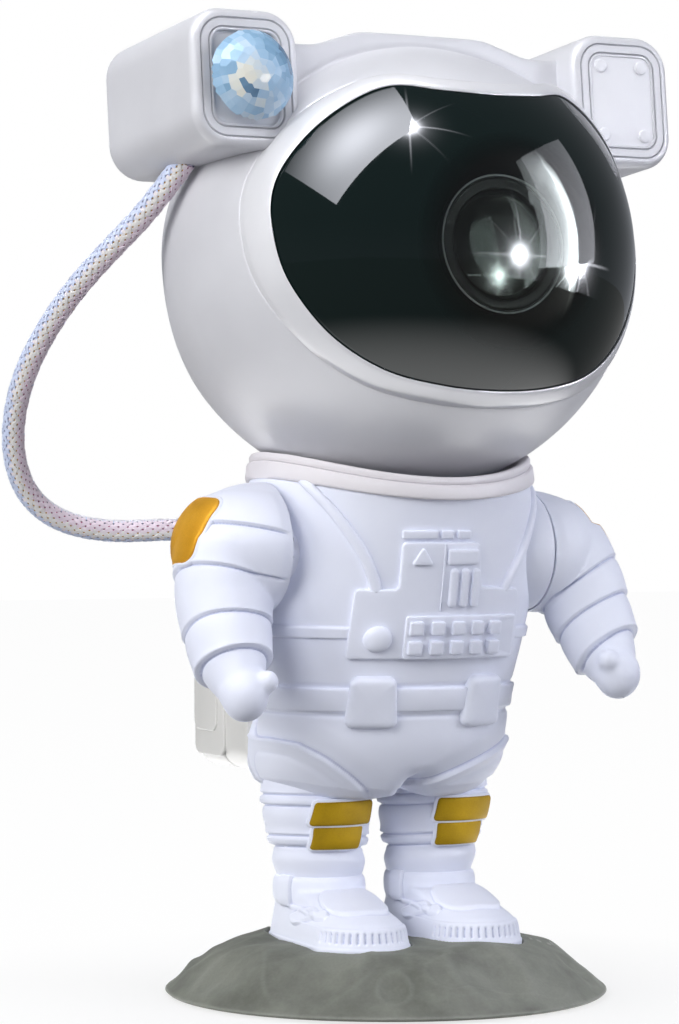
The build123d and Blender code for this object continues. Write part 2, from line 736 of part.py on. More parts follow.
with BuildSketch(Plane.XY) as panel_outline:
    Polygon(
        (-PANEL_HALF_WIDTH, PANEL_LOW_Z), (PANEL_HALF_WIDTH, PANEL_LOW_Z),
        (PANEL_HALF_WIDTH - 3, PANEL_TOP_Z), (TOWER_HALF_WIDTH, PANEL_TOP_Z),
        (TOWER_HALF_WIDTH, TOWER_TOP_Z), (-TOWER_HALF_WIDTH, TOWER_TOP_Z),
        (-TOWER_HALF_WIDTH, PANEL_TOP_Z), (-PANEL_HALF_WIDTH + 3, PANEL_TOP_Z),
        align=None,
    )

with BuildSketch(Plane.XY) as keypad_outline:
    with Locations(KEYPAD_CENTRE):
        Rectangle(*KEYPAD_SIZE)

with BuildSketch(Plane.XY) as key_outlines:
    with Locations(KEYPAD_CENTRE):
        with GridLocations(KEY_PITCH, KEY_PITCH - 0.3, KEY_COLUMNS, KEY_ROWS):
            Rectangle(KEY_SIZE, KEY_SIZE)

with BuildSketch(Plane.XY) as instrument_outlines:
    with Locations((CHEST_KNOB_X, CHEST_KNOB_Z)):
        Circle(CHEST_KNOB_RADIUS)
    for bar in range(BAR_COUNT):
        with Locations((BAR_START[0] + BAR_PITCH * bar, BAR_START[1])):
            Rectangle(*BAR_SIZE)
    with Locations(WINDOW_PLACE):
        Rectangle(*WINDOW_SIZE)
    with Locations(TRIANGLE_PLACE):
        RegularPolygon(TRIANGLE_RADIUS, 3, rotation=90)

with BuildPart() as chest_panel:
    add(torso_form(PANEL_THICK))
    add(chest_prism(panel_outline.sketch), mode=Mode.INTERSECT)
    add(TRUNK_SOLID, mode=Mode.SUBTRACT)
chest_panel.part.label = "chest_panel"
export_step(chest_panel.part, "parts/chest_panel.step")

chest_keys = chest_prism(key_outlines.sketch)
with BuildPart() as chest_instruments:
    add(torso_form(PANEL_THICK + EMBOSS))
    add(chest_prism(keypad_outline.sketch + instrument_outlines.sketch), mode=Mode.INTERSECT)
    add(torso_form(PANEL_THICK + 2 * EMBOSS) & chest_keys)
    add(torso_form(PANEL_THICK), mode=Mode.SUBTRACT)
chest_instruments.part.label = "chest_instruments"
export_step(chest_instruments.part, "parts/chest_instruments.step")


# ---------------------------------------------------------------- arms
def arm_form(grow=0.0):
    """Left arm without its pin: a shoulder dome, a limb, a mitten and its thumb."""
    with BuildPart() as form:
        add(ellipsoid_cap(SHOULDER_X + ARM_GAP, (SHOULDER_BULGE + grow, SHOULDER_RADIUS + grow)))
        for index, (x, y, z, radius) in enumerate(ARM):
            before = Vector(*ARM[max(index - 1, 0)][:3])
            after = Vector(*ARM[min(index + 1, len(ARM) - 1)][:3])
            with BuildSketch(Plane(origin=(x, y, z), z_dir=after - before)):
                Circle(radius + grow)
        loft()
        with Locations(HAND):
            Sphere(HAND_RADIUS + grow)
        with Locations(THUMB):
            Sphere(THUMB_RADIUS + grow)
    return form.part


def on_side(form, side):
    """A form made on the left, or its mirror image on the right."""
    return form if side > 0 else mirror(form, about=Plane.YZ)


ARM_FORM = arm_form()
PATCH_FORM = arm_form(PATCH_GROW)
for side_name, side in SIDES.items():
    limb = on_side(ARM_FORM, side)
    cover = on_side(PATCH_FORM, side)
    with BuildPart() as arm:
        add(limb)
        with BuildSketch(shoulder_plane(side, SHOULDER_X + ARM_GAP, outwards=False)):
            Circle(ARM_PIN_RADIUS)
        extrude(amount=ARM_PIN_LENGTH + ARM_GAP)
    arm.part.label = f"{side_name}_arm"
    export_step(arm.part, f"parts/{side_name}_arm.step")

    with BuildPart() as clip:
        with BuildSketch(shoulder_plane(side, SHOULDER_X - ARM_PIN_LENGTH, outwards=False)):
            Circle(ARM_PIN_RADIUS + WALL)
        extrude(amount=CLIP_THICK)
    clip.part.label = f"{side_name}_arm_clip"
    export_step(clip.part, f"parts/{side_name}_arm_clip.step")

    with BuildPart() as shoulder_patch:
        place = (side * PATCH_PLACE[0], PATCH_PLACE[1], PATCH_PLACE[2])
        with BuildSketch(Plane(origin=place, x_dir=(0, 1, 0), z_dir=(side, 0, PATCH_LEAN))):
            RectangleRounded(*PATCH_SIZE, POUCH_CORNER)
        extrude(amount=30)
        add(cover, mode=Mode.INTERSECT)
        add(limb, mode=Mode.SUBTRACT)
    shoulder_patch.part.label = f"{side_name}_shoulder_patch"
    export_step(shoulder_patch.part, f"parts/{side_name}_shoulder_patch.step")


# ---------------------------------------------------------------- neck
with BuildPart() as neck_collar:
    with BuildSketch(Plane((0, NECK_Y, COLLAR_LOW_Z))):
        Circle(COLLAR_RADIUS + COLLAR_STEP)
    extrude(amount=COLLAR_LIP_Z - COLLAR_LOW_Z)
    with BuildSketch(Plane((0, NECK_Y, COLLAR_LIP_Z))):
        Circle(COLLAR_RADIUS)
    extrude(amount=COLLAR_SIDE_Z - COLLAR_LIP_Z)
    saddle = COLLAR_SIDE_Z - COLLAR_FRONT_Z
    saddle_radius = (COLLAR_RADIUS**2 + saddle**2) / (2 * saddle)
    with BuildSketch(Plane(origin=(0, NECK_Y, COLLAR_FRONT_Z + saddle_radius), z_dir=(0, 1, 0))):
        Circle(saddle_radius)
    extrude(amount=2 * COLLAR_RADIUS, both=True, mode=Mode.SUBTRACT)
    with BuildSketch(Plane((0, NECK_AXIS_Y, COLLAR_LOW_Z))):
        Circle(MAGNET_RADIUS + 2 * WALL + FIT)
    extrude(amount=COLLAR_SIDE_Z - COLLAR_LOW_Z, mode=Mode.SUBTRACT)
    add(ball(HELMET_CENTRE, DISH_RADIUS), mode=Mode.SUBTRACT)
    add(TRUNK_SOLID, mode=Mode.SUBTRACT)
    for side in SIDES.values():
        add(post(shoulder_plane(side), SHOULDER_RADIUS + ARM_GAP, SHOULDER_X), mode=Mode.SUBTRACT)
neck_collar.part.label = "neck_collar"
export_step(neck_collar.part, "parts/neck_collar.step")

with BuildPart() as neck_cup:
    with BuildSketch(Plane((0, NECK_AXIS_Y, CUP_LOW_Z))):
        Circle(MAGNET_RADIUS + 2 * WALL)
    extrude(amount=COLLAR_SIDE_Z - CUP_LOW_Z)
    with BuildSketch(Plane((0, NECK_AXIS_Y, MAGNET_LOW_Z))):
        Circle(MAGNET_RADIUS + RUNNING)
    extrude(amount=COLLAR_SIDE_Z - MAGNET_LOW_Z, mode=Mode.SUBTRACT)
    add(ball(HELMET_CENTRE, DISH_RADIUS), mode=Mode.SUBTRACT)
neck_cup.part.label = "neck_cup"
export_step(neck_cup.part, "parts/neck_cup.step")

with BuildPart() as neck_magnet:
    with BuildSketch(Plane((0, NECK_AXIS_Y, MAGNET_LOW_Z))):
        Circle(MAGNET_RADIUS)
    extrude(amount=COLLAR_SIDE_Z - MAGNET_LOW_Z)
    add(ball(HELMET_CENTRE, DISH_RADIUS), mode=Mode.SUBTRACT)
neck_magnet.part.label = "neck_magnet"
export_step(neck_magnet.part, "parts/neck_magnet.step")


# ---------------------------------------------------------------- helmet shells
BOSSES = [(s * x, z) for x, z in (BOSS_UPPER, BOSS_LOWER) for s in SIDES.values()]
HOLLOW = helmet_form()
INSIDE = dome(-WALL / 2)
BEZEL_ROOM = visor_prism(BEZEL_WIDTH + FIT)

with BuildPart() as front_bosses:
    with BuildSketch(front(BRACKET_FRONT)):
        with Locations(BOSSES):
            Circle(BOSS_RADIUS)
    extrude(amount=DOME_SIDE_RADIUS)
    add(INSIDE, mode=Mode.INTERSECT)

with BuildPart() as rear_bosses:
    with BuildSketch(front(BRACKET_FRONT - BRACKET_THICK)):
        with Locations(BOSSES):
            Circle(BOSS_RADIUS)
    extrude(amount=-DOME_SIDE_RADIUS)
    add(INSIDE, mode=Mode.INTERSECT)

with BuildPart() as helmet_front:
    add(HOLLOW)
    add(half_space(Plane.XZ), mode=Mode.INTERSECT)
    add(front_bosses.part)
    add(BEZEL_ROOM, mode=Mode.SUBTRACT)
    with BuildSketch(Plane.XZ):
        with Locations(BOSSES):
            Circle(SCREW_RADIUS)
    extrude(amount=BRACKET_FRONT + HEAD_SCREW_BITE + 2, mode=Mode.SUBTRACT)
helmet_front.part.label = "helmet_front"
export_step(helmet_front.part.moved(HEAD), "parts/helmet_front.step")

with BuildPart() as helmet_rear:
    add(HOLLOW)
    add(half_space(behind(0)), mode=Mode.INTERSECT)
    add(rear_bosses.part)
    with BuildSketch(front(BRACKET_FRONT)):
        with Locations(BOSSES):
            Circle(SCREW_RADIUS + FIT)
    extrude(amount=-DOME_SIDE_RADIUS, mode=Mode.SUBTRACT)
    with BuildSketch(behind(HEAD_SCREW_Y)):
        with Locations(BOSSES):
            Circle(SCREW_HEAD_RADIUS + FIT)
    extrude(amount=DOME_SIDE_RADIUS, mode=Mode.SUBTRACT)
helmet_rear.part.label = "helmet_rear"
export_step(helmet_rear.part.moved(HEAD), "parts/helmet_rear.step")

with BuildPart() as helmet_screws:
    with BuildSketch(behind(HEAD_SCREW_Y)):
        with Locations(BOSSES):
            Circle(SCREW_HEAD_RADIUS)
    extrude(amount=SCREW_HEAD_HEIGHT)
    with BuildSketch(behind(HEAD_SCREW_Y)):
        with Locations(BOSSES):
            Circle(SCREW_RADIUS)
    extrude(amount=-(HEAD_SCREW_Y + BRACKET_FRONT + HEAD_SCREW_BITE))
helmet_screws.part.label = "helmet_screws"
export_step(helmet_screws.part.moved(HEAD), "parts/helmet_screws.step")

with BuildPart() as visor_bezel:
    add(bulge(BEZEL_PROUD))
    add(visor_prism(BEZEL_WIDTH), mode=Mode.INTERSECT)
    add(dome(-BEZEL_DEPTH), mode=Mode.SUBTRACT)
    add(visor_prism(0), mode=Mode.SUBTRACT)
visor_bezel.part.label = "visor_bezel"
export_step(visor_bezel.part.moved(HEAD), "parts/visor_bezel.step")

with BuildPart() as visor:
    add(bulge())
    add(visor_prism(0), mode=Mode.INTERSECT)
    add(bulge(-VISOR_THICK), mode=Mode.SUBTRACT)
visor.part.label = "visor"
export_step(visor.part.moved(HEAD), "parts/visor.step")

with BuildPart() as steel_keeper:
    add(post(Plane.XY.offset(-DOME_LOW_RADIUS), KEEPER_RADIUS, DOME_LOW_RADIUS / 2))
    add(dome(-WALL), mode=Mode.INTERSECT)
    add(dome(-WALL - KEEPER_THICK), mode=Mode.SUBTRACT)
steel_keeper.part.label = "steel_keeper"
export_step(steel_keeper.part.moved(HEAD), "parts/steel_keeper.step")


# ---------------------------------------------------------------- ear boxes
def ear_block(side, inset=0.0):
    """Rounded box of one ear, inset all round."""
    with BuildPart() as form:
        with BuildSketch(front(EAR_FRONT - inset)):
            with Locations((side * EAR_X, EAR_Z)):
                RectangleRounded(EAR_WIDTH - 2 * inset, EAR_HEIGHT - 2 * inset, EAR_CORNER - inset)
        extrude(amount=-(EAR_FRONT + EAR_BACK - 2 * inset))
        if not inset:
            ends = form.edges().group_by(Axis.Y)
            fillet(ends[0] + ends[-1], radius=EAR_EDGE)
    return form.part


SOLID_HELMET = dome() + crest()
ear_gland_hole = post(EAR_GLAND_PLANE.offset(-GLAND_LENGTH), GLAND_RADIUS + FIT, 2 * GLAND_LENGTH)
ear_gland_hole = ear_gland_hole.moved(HEAD.inverse())
for side_name, side in SIDES.items():
    with BuildPart() as ear_box:
        add(ear_block(side))
        add(ear_block(side, EAR_WALL), mode=Mode.SUBTRACT)
        add(SOLID_HELMET, mode=Mode.SUBTRACT)
        add(BEZEL_ROOM, mode=Mode.SUBTRACT)
        for inset in (FRAME_INSET, INNER_INSET):
            with BuildSketch(front(EAR_FRONT)):
                with Locations((side * EAR_X, EAR_Z)):
                    RectangleRounded(EAR_WIDTH - 2 * inset, EAR_HEIGHT - 2 * inset, EAR_CORNER - inset)
                    rim = inset + GROOVE_WIDTH
                    RectangleRounded(
                        EAR_WIDTH - 2 * rim, EAR_HEIGHT - 2 * rim, EAR_CORNER - rim, mode=Mode.SUBTRACT
                    )
            extrude(amount=-GROOVE_DEPTH, mode=Mode.SUBTRACT)
        if side < 0:
            with BuildSketch(front(EAR_FRONT)):
                with Locations((side * EAR_X, EAR_Z)):
                    Circle(DOME_LENS_RADIUS + FIT)
            extrude(amount=-EAR_WALL, mode=Mode.SUBTRACT)
            add(ear_gland_hole, mode=Mode.SUBTRACT)
        else:
            with BuildSketch(front(EAR_FRONT)):
                with Locations((side * EAR_X, EAR_Z)):
                    RectangleRounded(PLATE_WIDTH + 2 * FIT, PLATE_HEIGHT + 2 * FIT, PLATE_CORNER + FIT)
            extrude(amount=-PLATE_DEPTH, mode=Mode.SUBTRACT)
    ear_box.part.label = f"{side_name}_ear_box"
    export_step(ear_box.part.moved(HEAD), f"parts/{side_name}_ear_box.step")

with BuildPart() as left_ear_plate:
    with BuildSketch(front(EAR_FRONT - PLATE_DEPTH)):
        with Locations((EAR_X, EAR_Z)):
            RectangleRounded(PLATE_WIDTH, PLATE_HEIGHT, PLATE_CORNER)
    extrude(amount=PLATE_DEPTH - 0.3)
    with BuildSketch(front(EAR_FRONT - 0.3)):
        with Locations((EAR_X, EAR_Z)):
            with GridLocations(*STUD_SPAN, 2, 2):
                Circle(STUD_RADIUS)
    extrude(amount=STUD_HEIGHT)
left_ear_plate.part.label = "left_ear_plate"
export_step(left_ear_plate.part.moved(HEAD), "parts/left_ear_plate.step")

with BuildPart() as star_dome:
    for row in range(DOME_LENS_ROWS + 1):
        climb = radians(84 * row / DOME_LENS_ROWS)
        with BuildSketch(front(EAR_FRONT + DOME_LENS_RISE * sin(climb))):
            with Locations((-EAR_X, EAR_Z)):
                RegularPolygon(DOME_LENS_RADIUS * cos(climb), DOME_LENS_SIDES)
    loft(ruled=True)
    with BuildSketch(front(EAR_FRONT)):
        with Locations((-EAR_X, EAR_Z)):
            Circle(DOME_LENS_RADIUS)
    extrude(amount=-EAR_WALL)
    with BuildSketch(front(EAR_FRONT - EAR_WALL)):
        with Locations((-EAR_X, EAR_Z)):
            Circle(DOME_LENS_RADIUS - DOME_LENS_WALL)
    extrude(amount=EAR_WALL + DOME_LENS_RISE / 2, taper=6, mode=Mode.SUBTRACT)
star_dome.part.label = "star_dome"
export_step(star_dome.part.moved(HEAD), "parts/star_dome.step")

with BuildPart() as star_board:
    with BuildSketch(front(EAR_FRONT - EAR_WALL)):
        with Locations((-EAR_X, EAR_Z)):
            Rectangle(*STAR_BOARD_SIZE)
    extrude(amount=-LED_BOARD_THICK)
    with BuildSketch(front(EAR_FRONT - EAR_WALL)):
        with Locations((-EAR_X, EAR_Z)):
            Rectangle(EMITTER_SIZE, EMITTER_SIZE)
    extrude(amount=EAR_WALL)
star_board.part.label = "star_board"
export_step(star_board.part.moved(HEAD), "parts/star_board.step")


# ---------------------------------------------------------------- nebula optics
CROWN_HEIGHT = LENS_THICK / 2
CROWN_RADIUS = (LENS_RADIUS**2 + CROWN_HEIGHT**2) / (2 * CROWN_HEIGHT)
with BuildPart() as nebula_lens:
    with BuildSketch(front(LENS_FRONT - LENS_THICK)):
        with Locations((0, LENS_Z)):
            Circle(LENS_RADIUS - FIT)
    extrude(amount=LENS_THICK)
    add(ball((0, CROWN_RADIUS - LENS_FRONT, LENS_Z), CROWN_RADIUS), mode=Mode.INTERSECT)
nebula_lens.part.label = "nebula_lens"
export_step(nebula_lens.part.moved(HEAD), "parts/nebula_lens.step")

with BuildPart() as lens_ring:
    with BuildSketch(front(LENS_FRONT - LENS_THICK)):
        with Locations((0, LENS_Z)):
            Circle(LENS_RING_RADIUS)
            Circle(LENS_RADIUS, mode=Mode.SUBTRACT)
    extrude(amount=LENS_THICK)
    fillet(lens_ring.edges().group_by(Axis.Y)[0], radius=0.5)
lens_ring.part.label = "lens_ring"
export_step(lens_ring.part.moved(HEAD), "parts/lens_ring.step")

with BuildPart() as lens_barrel:
    with BuildSketch(front(FLANGE_FRONT)):
        with Locations((0, LENS_Z)):
            Circle(BARREL_RADIUS)
    extrude(amount=LENS_FRONT - LENS_THICK - FLANGE_FRONT)
    with BuildSketch(front(FLANGE_FRONT)):
        with Locations((0, LENS_Z)):
            Circle(FLANGE_RADIUS)
    extrude(amount=-FLANGE_THICK)
    with BuildSketch(front(FLANGE_FRONT)):
        with Locations((0, LENS_Z)):
            Circle(JOURNAL_RADIUS + 1.2)
    extrude(amount=-(FLANGE_FRONT - WHEEL_FRONT))
    with BuildSketch(front(WHEEL_FRONT)):
        with Locations((0, LENS_Z)):
            Circle(JOURNAL_RADIUS)
    extrude(amount=-WHEEL_THICK + RUNNING)
    with BuildSketch(front(LENS_FRONT)):
        with Locations((0, LENS_Z)):
            Circle(JOURNAL_RADIUS - BARREL_WALL)
    extrude(amount=-LENS_FRONT, mode=Mode.SUBTRACT)
    with BuildSketch(front(FLANGE_FRONT - FLANGE_THICK)):
        for angle in POST_ANGLES:
            turn = radians(angle)
            with Locations((POST_RING * cos(turn), LENS_Z + POST_RING * sin(turn))):
                Circle(POST_RADIUS)
    extrude(amount=-(FLANGE_FRONT - FLANGE_THICK - BRACKET_FRONT))
lens_barrel.part.label = "lens_barrel"
export_step(lens_barrel.part.moved(HEAD), "parts/lens_barrel.step")

with BuildPart() as ripple_wheel:
    with BuildSketch(front(WHEEL_BACK)):
        with Locations(Location((0, LENS_Z, 0), (0, 0, 90))):
            Polygon(*gear_outline(WHEEL_TEETH, BACKLASH), align=None)
        with Locations((0, LENS_Z)):
            Circle(JOURNAL_RADIUS + RUNNING, mode=Mode.SUBTRACT)
    extrude(amount=WHEEL_THICK)
ripple_wheel.part.label = "ripple_wheel"
export_step(ripple_wheel.part.moved(HEAD), "parts/ripple_wheel.step")

with BuildPart() as ripple_disc:
    with BuildSketch(front(WHEEL_BACK)):
        with Locations((0, LENS_Z)):
            Circle(WHEEL_PITCH_RADIUS - 2 * GEAR_MODULE)
    extrude(amount=-RIPPLE_THICK)
ripple_disc.part.label = "ripple_disc"
export_step(ripple_disc.part.moved(HEAD), "parts/ripple_disc.step")

with BuildPart() as drive_pinion:
    with BuildSketch(front(WHEEL_BACK)):
        with Locations(Location((0, PINION_Z, 0), (0, 0, 90 + 180 / PINION_TEETH))):
            Polygon(*gear_outline(PINION_TEETH, BACKLASH), align=None)
    extrude(amount=WHEEL_THICK)
    with BuildSketch(front(WHEEL_BACK)):
        with Locations((0, PINION_Z)):
            Circle(SHAFT_RADIUS)
    extrude(amount=-(WHEEL_BACK - BRACKET_FRONT - 3))
drive_pinion.part.label = "drive_pinion"
export_step(drive_pinion.part.moved(HEAD), "parts/drive_pinion.step")

with BuildPart() as ripple_motor:
    with BuildSketch(front(BRACKET_FRONT)):
        with Locations((0, PINION_Z)):
            Circle(MOTOR_RADIUS)
    extrude(amount=MOTOR_LENGTH)
    with BuildSketch(front(BRACKET_FRONT + 2)):
        with Locations((0, PINION_Z)):
            Circle(SHAFT_RADIUS + RUNNING)
    extrude(amount=MOTOR_LENGTH, mode=Mode.SUBTRACT)
ripple_motor.part.label = "ripple_motor"
export_step(ripple_motor.part.moved(HEAD), "parts/ripple_motor.step")

with BuildPart() as heat_sink:
    with BuildSketch(front(BRACKET_FRONT)):
        with Locations((0, LENS_Z)):
            Circle(SINK_RADIUS)
            with GridLocations(3.0, 0, 6, 1):
                Rectangle(1.2, 2 * SINK_RADIUS, mode=Mode.SUBTRACT)
    extrude(amount=SINK_DEPTH - 2)
    with BuildSketch(front(BRACKET_FRONT + SINK_DEPTH - 2)):
        with Locations((0, LENS_Z)):
            Circle(SINK_RADIUS)
    extrude(amount=2)
heat_sink.part.label = "heat_sink"
export_step(heat_sink.part.moved(HEAD), "parts/heat_sink.step")

with BuildPart() as led_board:
    with BuildSketch(front(BRACKET_FRONT + SINK_DEPTH)):
        with Locations((0, LENS_Z)):
            Circle(SINK_RADIUS - FIT)
    extrude(amount=LED_BOARD_THICK)
    with BuildSketch(front(BRACKET_FRONT + SINK_DEPTH + LED_BOARD_THICK)):
        with Locations((0, LENS_Z)):
            with GridLocations(EMITTER_PITCH, EMITTER_PITCH, 2, 2):
                Rectangle(EMITTER_SIZE, EMITTER_SIZE)
    extrude(amount=EMITTER_THICK)
led_board.part.label = "led_board"
export_step(led_board.part.moved(HEAD), "parts/led_board.step")

with BuildPart() as optics_bracket:
    with BuildSketch(front(BRACKET_FRONT - BRACKET_THICK)):
        with Locations((0, LENS_Z)):
            Circle(FLANGE_RADIUS)
        with Locations((0, PINION_Z)):
            Circle(MOTOR_RADIUS + WALL)
        for x, z in BOSSES:
            with Locations((x, z)):
                Circle(BOSS_RADIUS)
            lean = degrees(atan2(z - LENS_Z, x))
            reach = hypot(x, z - LENS_Z)
            with Locations(Location((x / 2, (z + LENS_Z) / 2, 0), (0, 0, lean))):
                Rectangle(reach, 2 * BOSS_RADIUS)
    extrude(amount=BRACKET_THICK)
    with BuildSketch(front(BRACKET_FRONT)):
        with Locations(BOSSES):
            Circle(SCREW_RADIUS + FIT)
    extrude(amount=-BRACKET_THICK, mode=Mode.SUBTRACT)
    with BuildSketch(front(BRACKET_FRONT - BRACKET_THICK)):
        with GridLocations(HEAD_BOARD[0] - 8, HEAD_BOARD[1] - 8, 2, 2):
            Circle(POST_RADIUS)
    extrude(amount=-(HEAD_BOARD_Y + BRACKET_FRONT - BRACKET_THICK))
optics_bracket.part.label = "optics_bracket"
export_step(optics_bracket.part.moved(HEAD), "parts/optics_bracket.step")

with BuildPart() as head_board:
    with BuildSketch(front(-HEAD_BOARD_Y)):
        Rectangle(HEAD_BOARD[0], HEAD_BOARD[1])
    extrude(amount=-HEAD_BOARD[2])
    for x, z, width, height, rise in HEAD_BOARD_CHIPS:
        with BuildSketch(front(-HEAD_BOARD_Y - HEAD_BOARD[2])):
            with Locations((x, z)):
                Rectangle(width, height)
        extrude(amount=-rise)
head_board.part.label = "head_board"
export_step(head_board.part.moved(HEAD), "parts/head_board.step")


# ---------------------------------------------------------------- backpack
def pack_block(inset=0.0):
    """Rounded backpack box, inset all round."""
    middle_y, depth = (PACK_FRONT + PACK_BACK) / 2, PACK_BACK - PACK_FRONT
    middle_z, height = (PACK_LOW_Z + PACK_TOP_Z) / 2, PACK_TOP_Z - PACK_LOW_Z
    with BuildPart() as form:
        with BuildSketch(Plane.XZ.offset(-PACK_FRONT - inset)):
            with Locations((0, middle_z)):
                RectangleRounded(2 * (PACK_HALF_WIDTH - inset), height - 2 * inset, PACK_CORNER - inset)
        extrude(amount=-(depth - 2 * inset))
        if not inset:
            fillet(form.edges().group_by(Axis.Y)[-1], radius=PACK_EDGE)
    return form.part


def pack_hollow():
    """The backpack's inside, from behind its front wall."""
    with BuildPart() as form:
        add(pack_block(WALL))
        add(half_space(behind(PACK_HOLLOW_FRONT)), mode=Mode.INTERSECT)
    return form.part


pack_gland_hole = post(PACK_GLAND_PLANE.offset(-GLAND_LENGTH), GLAND_RADIUS + FIT, 2 * GLAND_LENGTH)
COLLAR_ROOM = post(Plane((0, NECK_Y, COLLAR_LOW_Z)), COLLAR_RADIUS + COLLAR_STEP, PACK_TOP_Z)
with BuildPart() as backpack_shell:
    add(pack_block())
    add(half_space(front(-PACK_SPLIT)), mode=Mode.INTERSECT)
    add(TRUNK_SOLID, mode=Mode.SUBTRACT)
    add(belt.part, mode=Mode.SUBTRACT)
    add(COLLAR_ROOM, mode=Mode.SUBTRACT)
    add(pack_hollow(), mode=Mode.SUBTRACT)
    with BuildSketch(behind(PACK_HOLLOW_FRONT)):
        with Locations(PACK_BOSSES):
            Circle(BOSS_RADIUS)
    extrude(amount=PACK_SPLIT - PACK_HOLLOW_FRONT)
    with BuildSketch(behind(PACK_HOLLOW_FRONT - 2)):
        with Locations(PACK_BOSSES):
            Circle(SCREW_RADIUS)
    extrude(amount=PACK_BACK, mode=Mode.SUBTRACT)
backpack_shell.part.label = "backpack_shell"
export_step(backpack_shell.part, "parts/backpack_shell.step")

with BuildPart() as backpack_cover:
    add(pack_block())
    add(half_space(behind(PACK_SPLIT)), mode=Mode.INTERSECT)
    add(pack_block(WALL), mode=Mode.SUBTRACT)
    with BuildSketch(behind(PACK_SPLIT)):
        with Locations(PACK_BOSSES):
            Circle(BOSS_RADIUS + 0.6)
    extrude(amount=PACK_BACK - PACK_SPLIT - WALL / 2)
    with BuildSketch(behind(PACK_SPLIT)):
        with Locations(PACK_BOSSES):
            Circle(SCREW_RADIUS + FIT)
    extrude(amount=PACK_BACK, mode=Mode.SUBTRACT)
    with BuildSketch(behind(PACK_BACK)):
        with Locations(PACK_BOSSES):
            Circle(SCREW_HEAD_RADIUS + FIT)
    extrude(amount=-PACK_SCREW_SINK, mode=Mode.SUBTRACT)
    with BuildSketch(behind(CONTROL_BOARD_Y + CONTROL_BOARD[1])):
        with Locations(BOARD_POSTS):
            Circle(POST_RADIUS)
    extrude(amount=PACK_BACK - WALL / 2 - CONTROL_BOARD_Y - CONTROL_BOARD[1])
    with BuildSketch(behind(PACK_BACK)):
        with Locations([(0, z) for z in BUTTON_ZS]):
            Circle(BUTTON_RADIUS + BUTTON_GAP)
        with Locations((0, SOCKET_Z)):
            SlotOverall(SOCKET_SIZE[0] + 2 * FIT, SOCKET_SIZE[2] + 2 * FIT)
    extrude(amount=-WALL, mode=Mode.SUBTRACT)
    for side in SIDES.values():
        panel = (side * PACK_HALF_WIDTH, (PACK_SPLIT + PACK_BACK) / 2, SIDE_PANEL_Z)
        with BuildSketch(Plane(origin=panel, x_dir=(0, 1, 0), z_dir=(side, 0, 0))):
            RectangleRounded(*SIDE_PANEL, 3.0)
            offset(amount=-GROOVE_WIDTH, mode=Mode.SUBTRACT)
        extrude(amount=-GROOVE_DEPTH, mode=Mode.SUBTRACT)
    add(pack_gland_hole, mode=Mode.SUBTRACT)
backpack_cover.part.label = "backpack_cover"
export_step(backpack_cover.part, "parts/backpack_cover.step")

with BuildPart() as pack_screws:
    with BuildSketch(behind(PACK_BACK - PACK_SCREW_SINK)):
        with Locations(PACK_BOSSES):
            Circle(SCREW_HEAD_RADIUS)
    extrude(amount=SCREW_HEAD_HEIGHT)
    with BuildSketch(behind(PACK_BACK - PACK_SCREW_SINK)):
        with Locations(PACK_BOSSES):
            Circle(SCREW_RADIUS)
    extrude(amount=-(PACK_BACK - PACK_SCREW_SINK - PACK_HOLLOW_FRONT))
pack_screws.part.label = "pack_screws"
export_step(pack_screws.part, "parts/pack_screws.step")

with BuildPart() as control_board:
    with BuildSketch(behind(CONTROL_BOARD_Y)):
        with Locations((0, BOARD_MIDDLE_Z)):
            Rectangle(CONTROL_BOARD[0], CONTROL_BOARD[2])
    extrude(amount=CONTROL_BOARD[1])
    with BuildSketch(behind(CONTROL_BOARD_Y + CONTROL_BOARD[1])):
        with Locations([(0, z) for z in BUTTON_ZS]):
            Rectangle(6, 6)
    extrude(amount=SWITCH_HEIGHT)
    with BuildSketch(behind(CONTROL_BOARD_Y)):
        with Locations((8, BOARD_MIDDLE_Z + 8)):
            Rectangle(9, 9)
        with Locations((-9, BOARD_MIDDLE_Z - 10)):
            Circle(4)
    extrude(amount=-2.2)
control_board.part.label = "control_board"
export_step(control_board.part, "parts/control_board.step")

with BuildPart() as power_socket:
    with BuildSketch(behind(PACK_BACK - SOCKET_SIZE[1])):
        with Locations((0, SOCKET_Z)):
            SlotOverall(SOCKET_SIZE[0], SOCKET_SIZE[2])
    extrude(amount=SOCKET_SIZE[1] - 0.2)
    with BuildSketch(behind(PACK_BACK - 0.2)):
        with Locations((0, SOCKET_Z)):
            SlotOverall(SOCKET_SIZE[0] - 0.7, SOCKET_SIZE[2] - 0.7)
            SlotOverall(6.7, 0.9, mode=Mode.SUBTRACT)
    extrude(amount=-SOCKET_SIZE[1] + 1.5, mode=Mode.SUBTRACT)
power_socket.part.label = "power_socket"
export_step(power_socket.part, "parts/power_socket.step")

for name, height in zip(("power", "mode", "dimmer"), BUTTON_ZS):
    with BuildPart() as button:
        with BuildSketch(behind(PACK_BACK + BUTTON_PROUD)):
            with Locations((0, height)):
                Circle(BUTTON_RADIUS)
        extrude(amount=-BUTTON_THICK)
        fillet(button.edges().group_by(Axis.Y)[-1], radius=0.7)
        with BuildSketch(behind(PACK_BACK + BUTTON_PROUD - BUTTON_THICK)):
            with Locations((0, height)):
                Circle(1.6)
        extrude(amount=-(PACK_BACK + BUTTON_PROUD - BUTTON_THICK - BUTTON_SEAT_Y))
    button.part.label = f"{name}_button"
    export_step(button.part, f"parts/{name}_button.step")


# ---------------------------------------------------------------- umbilical cable
cable_upper = cable_tube(CABLE_UPPER)
cable_upper.label = "cable_upper"
export_step(cable_upper, "parts/cable_upper.step")

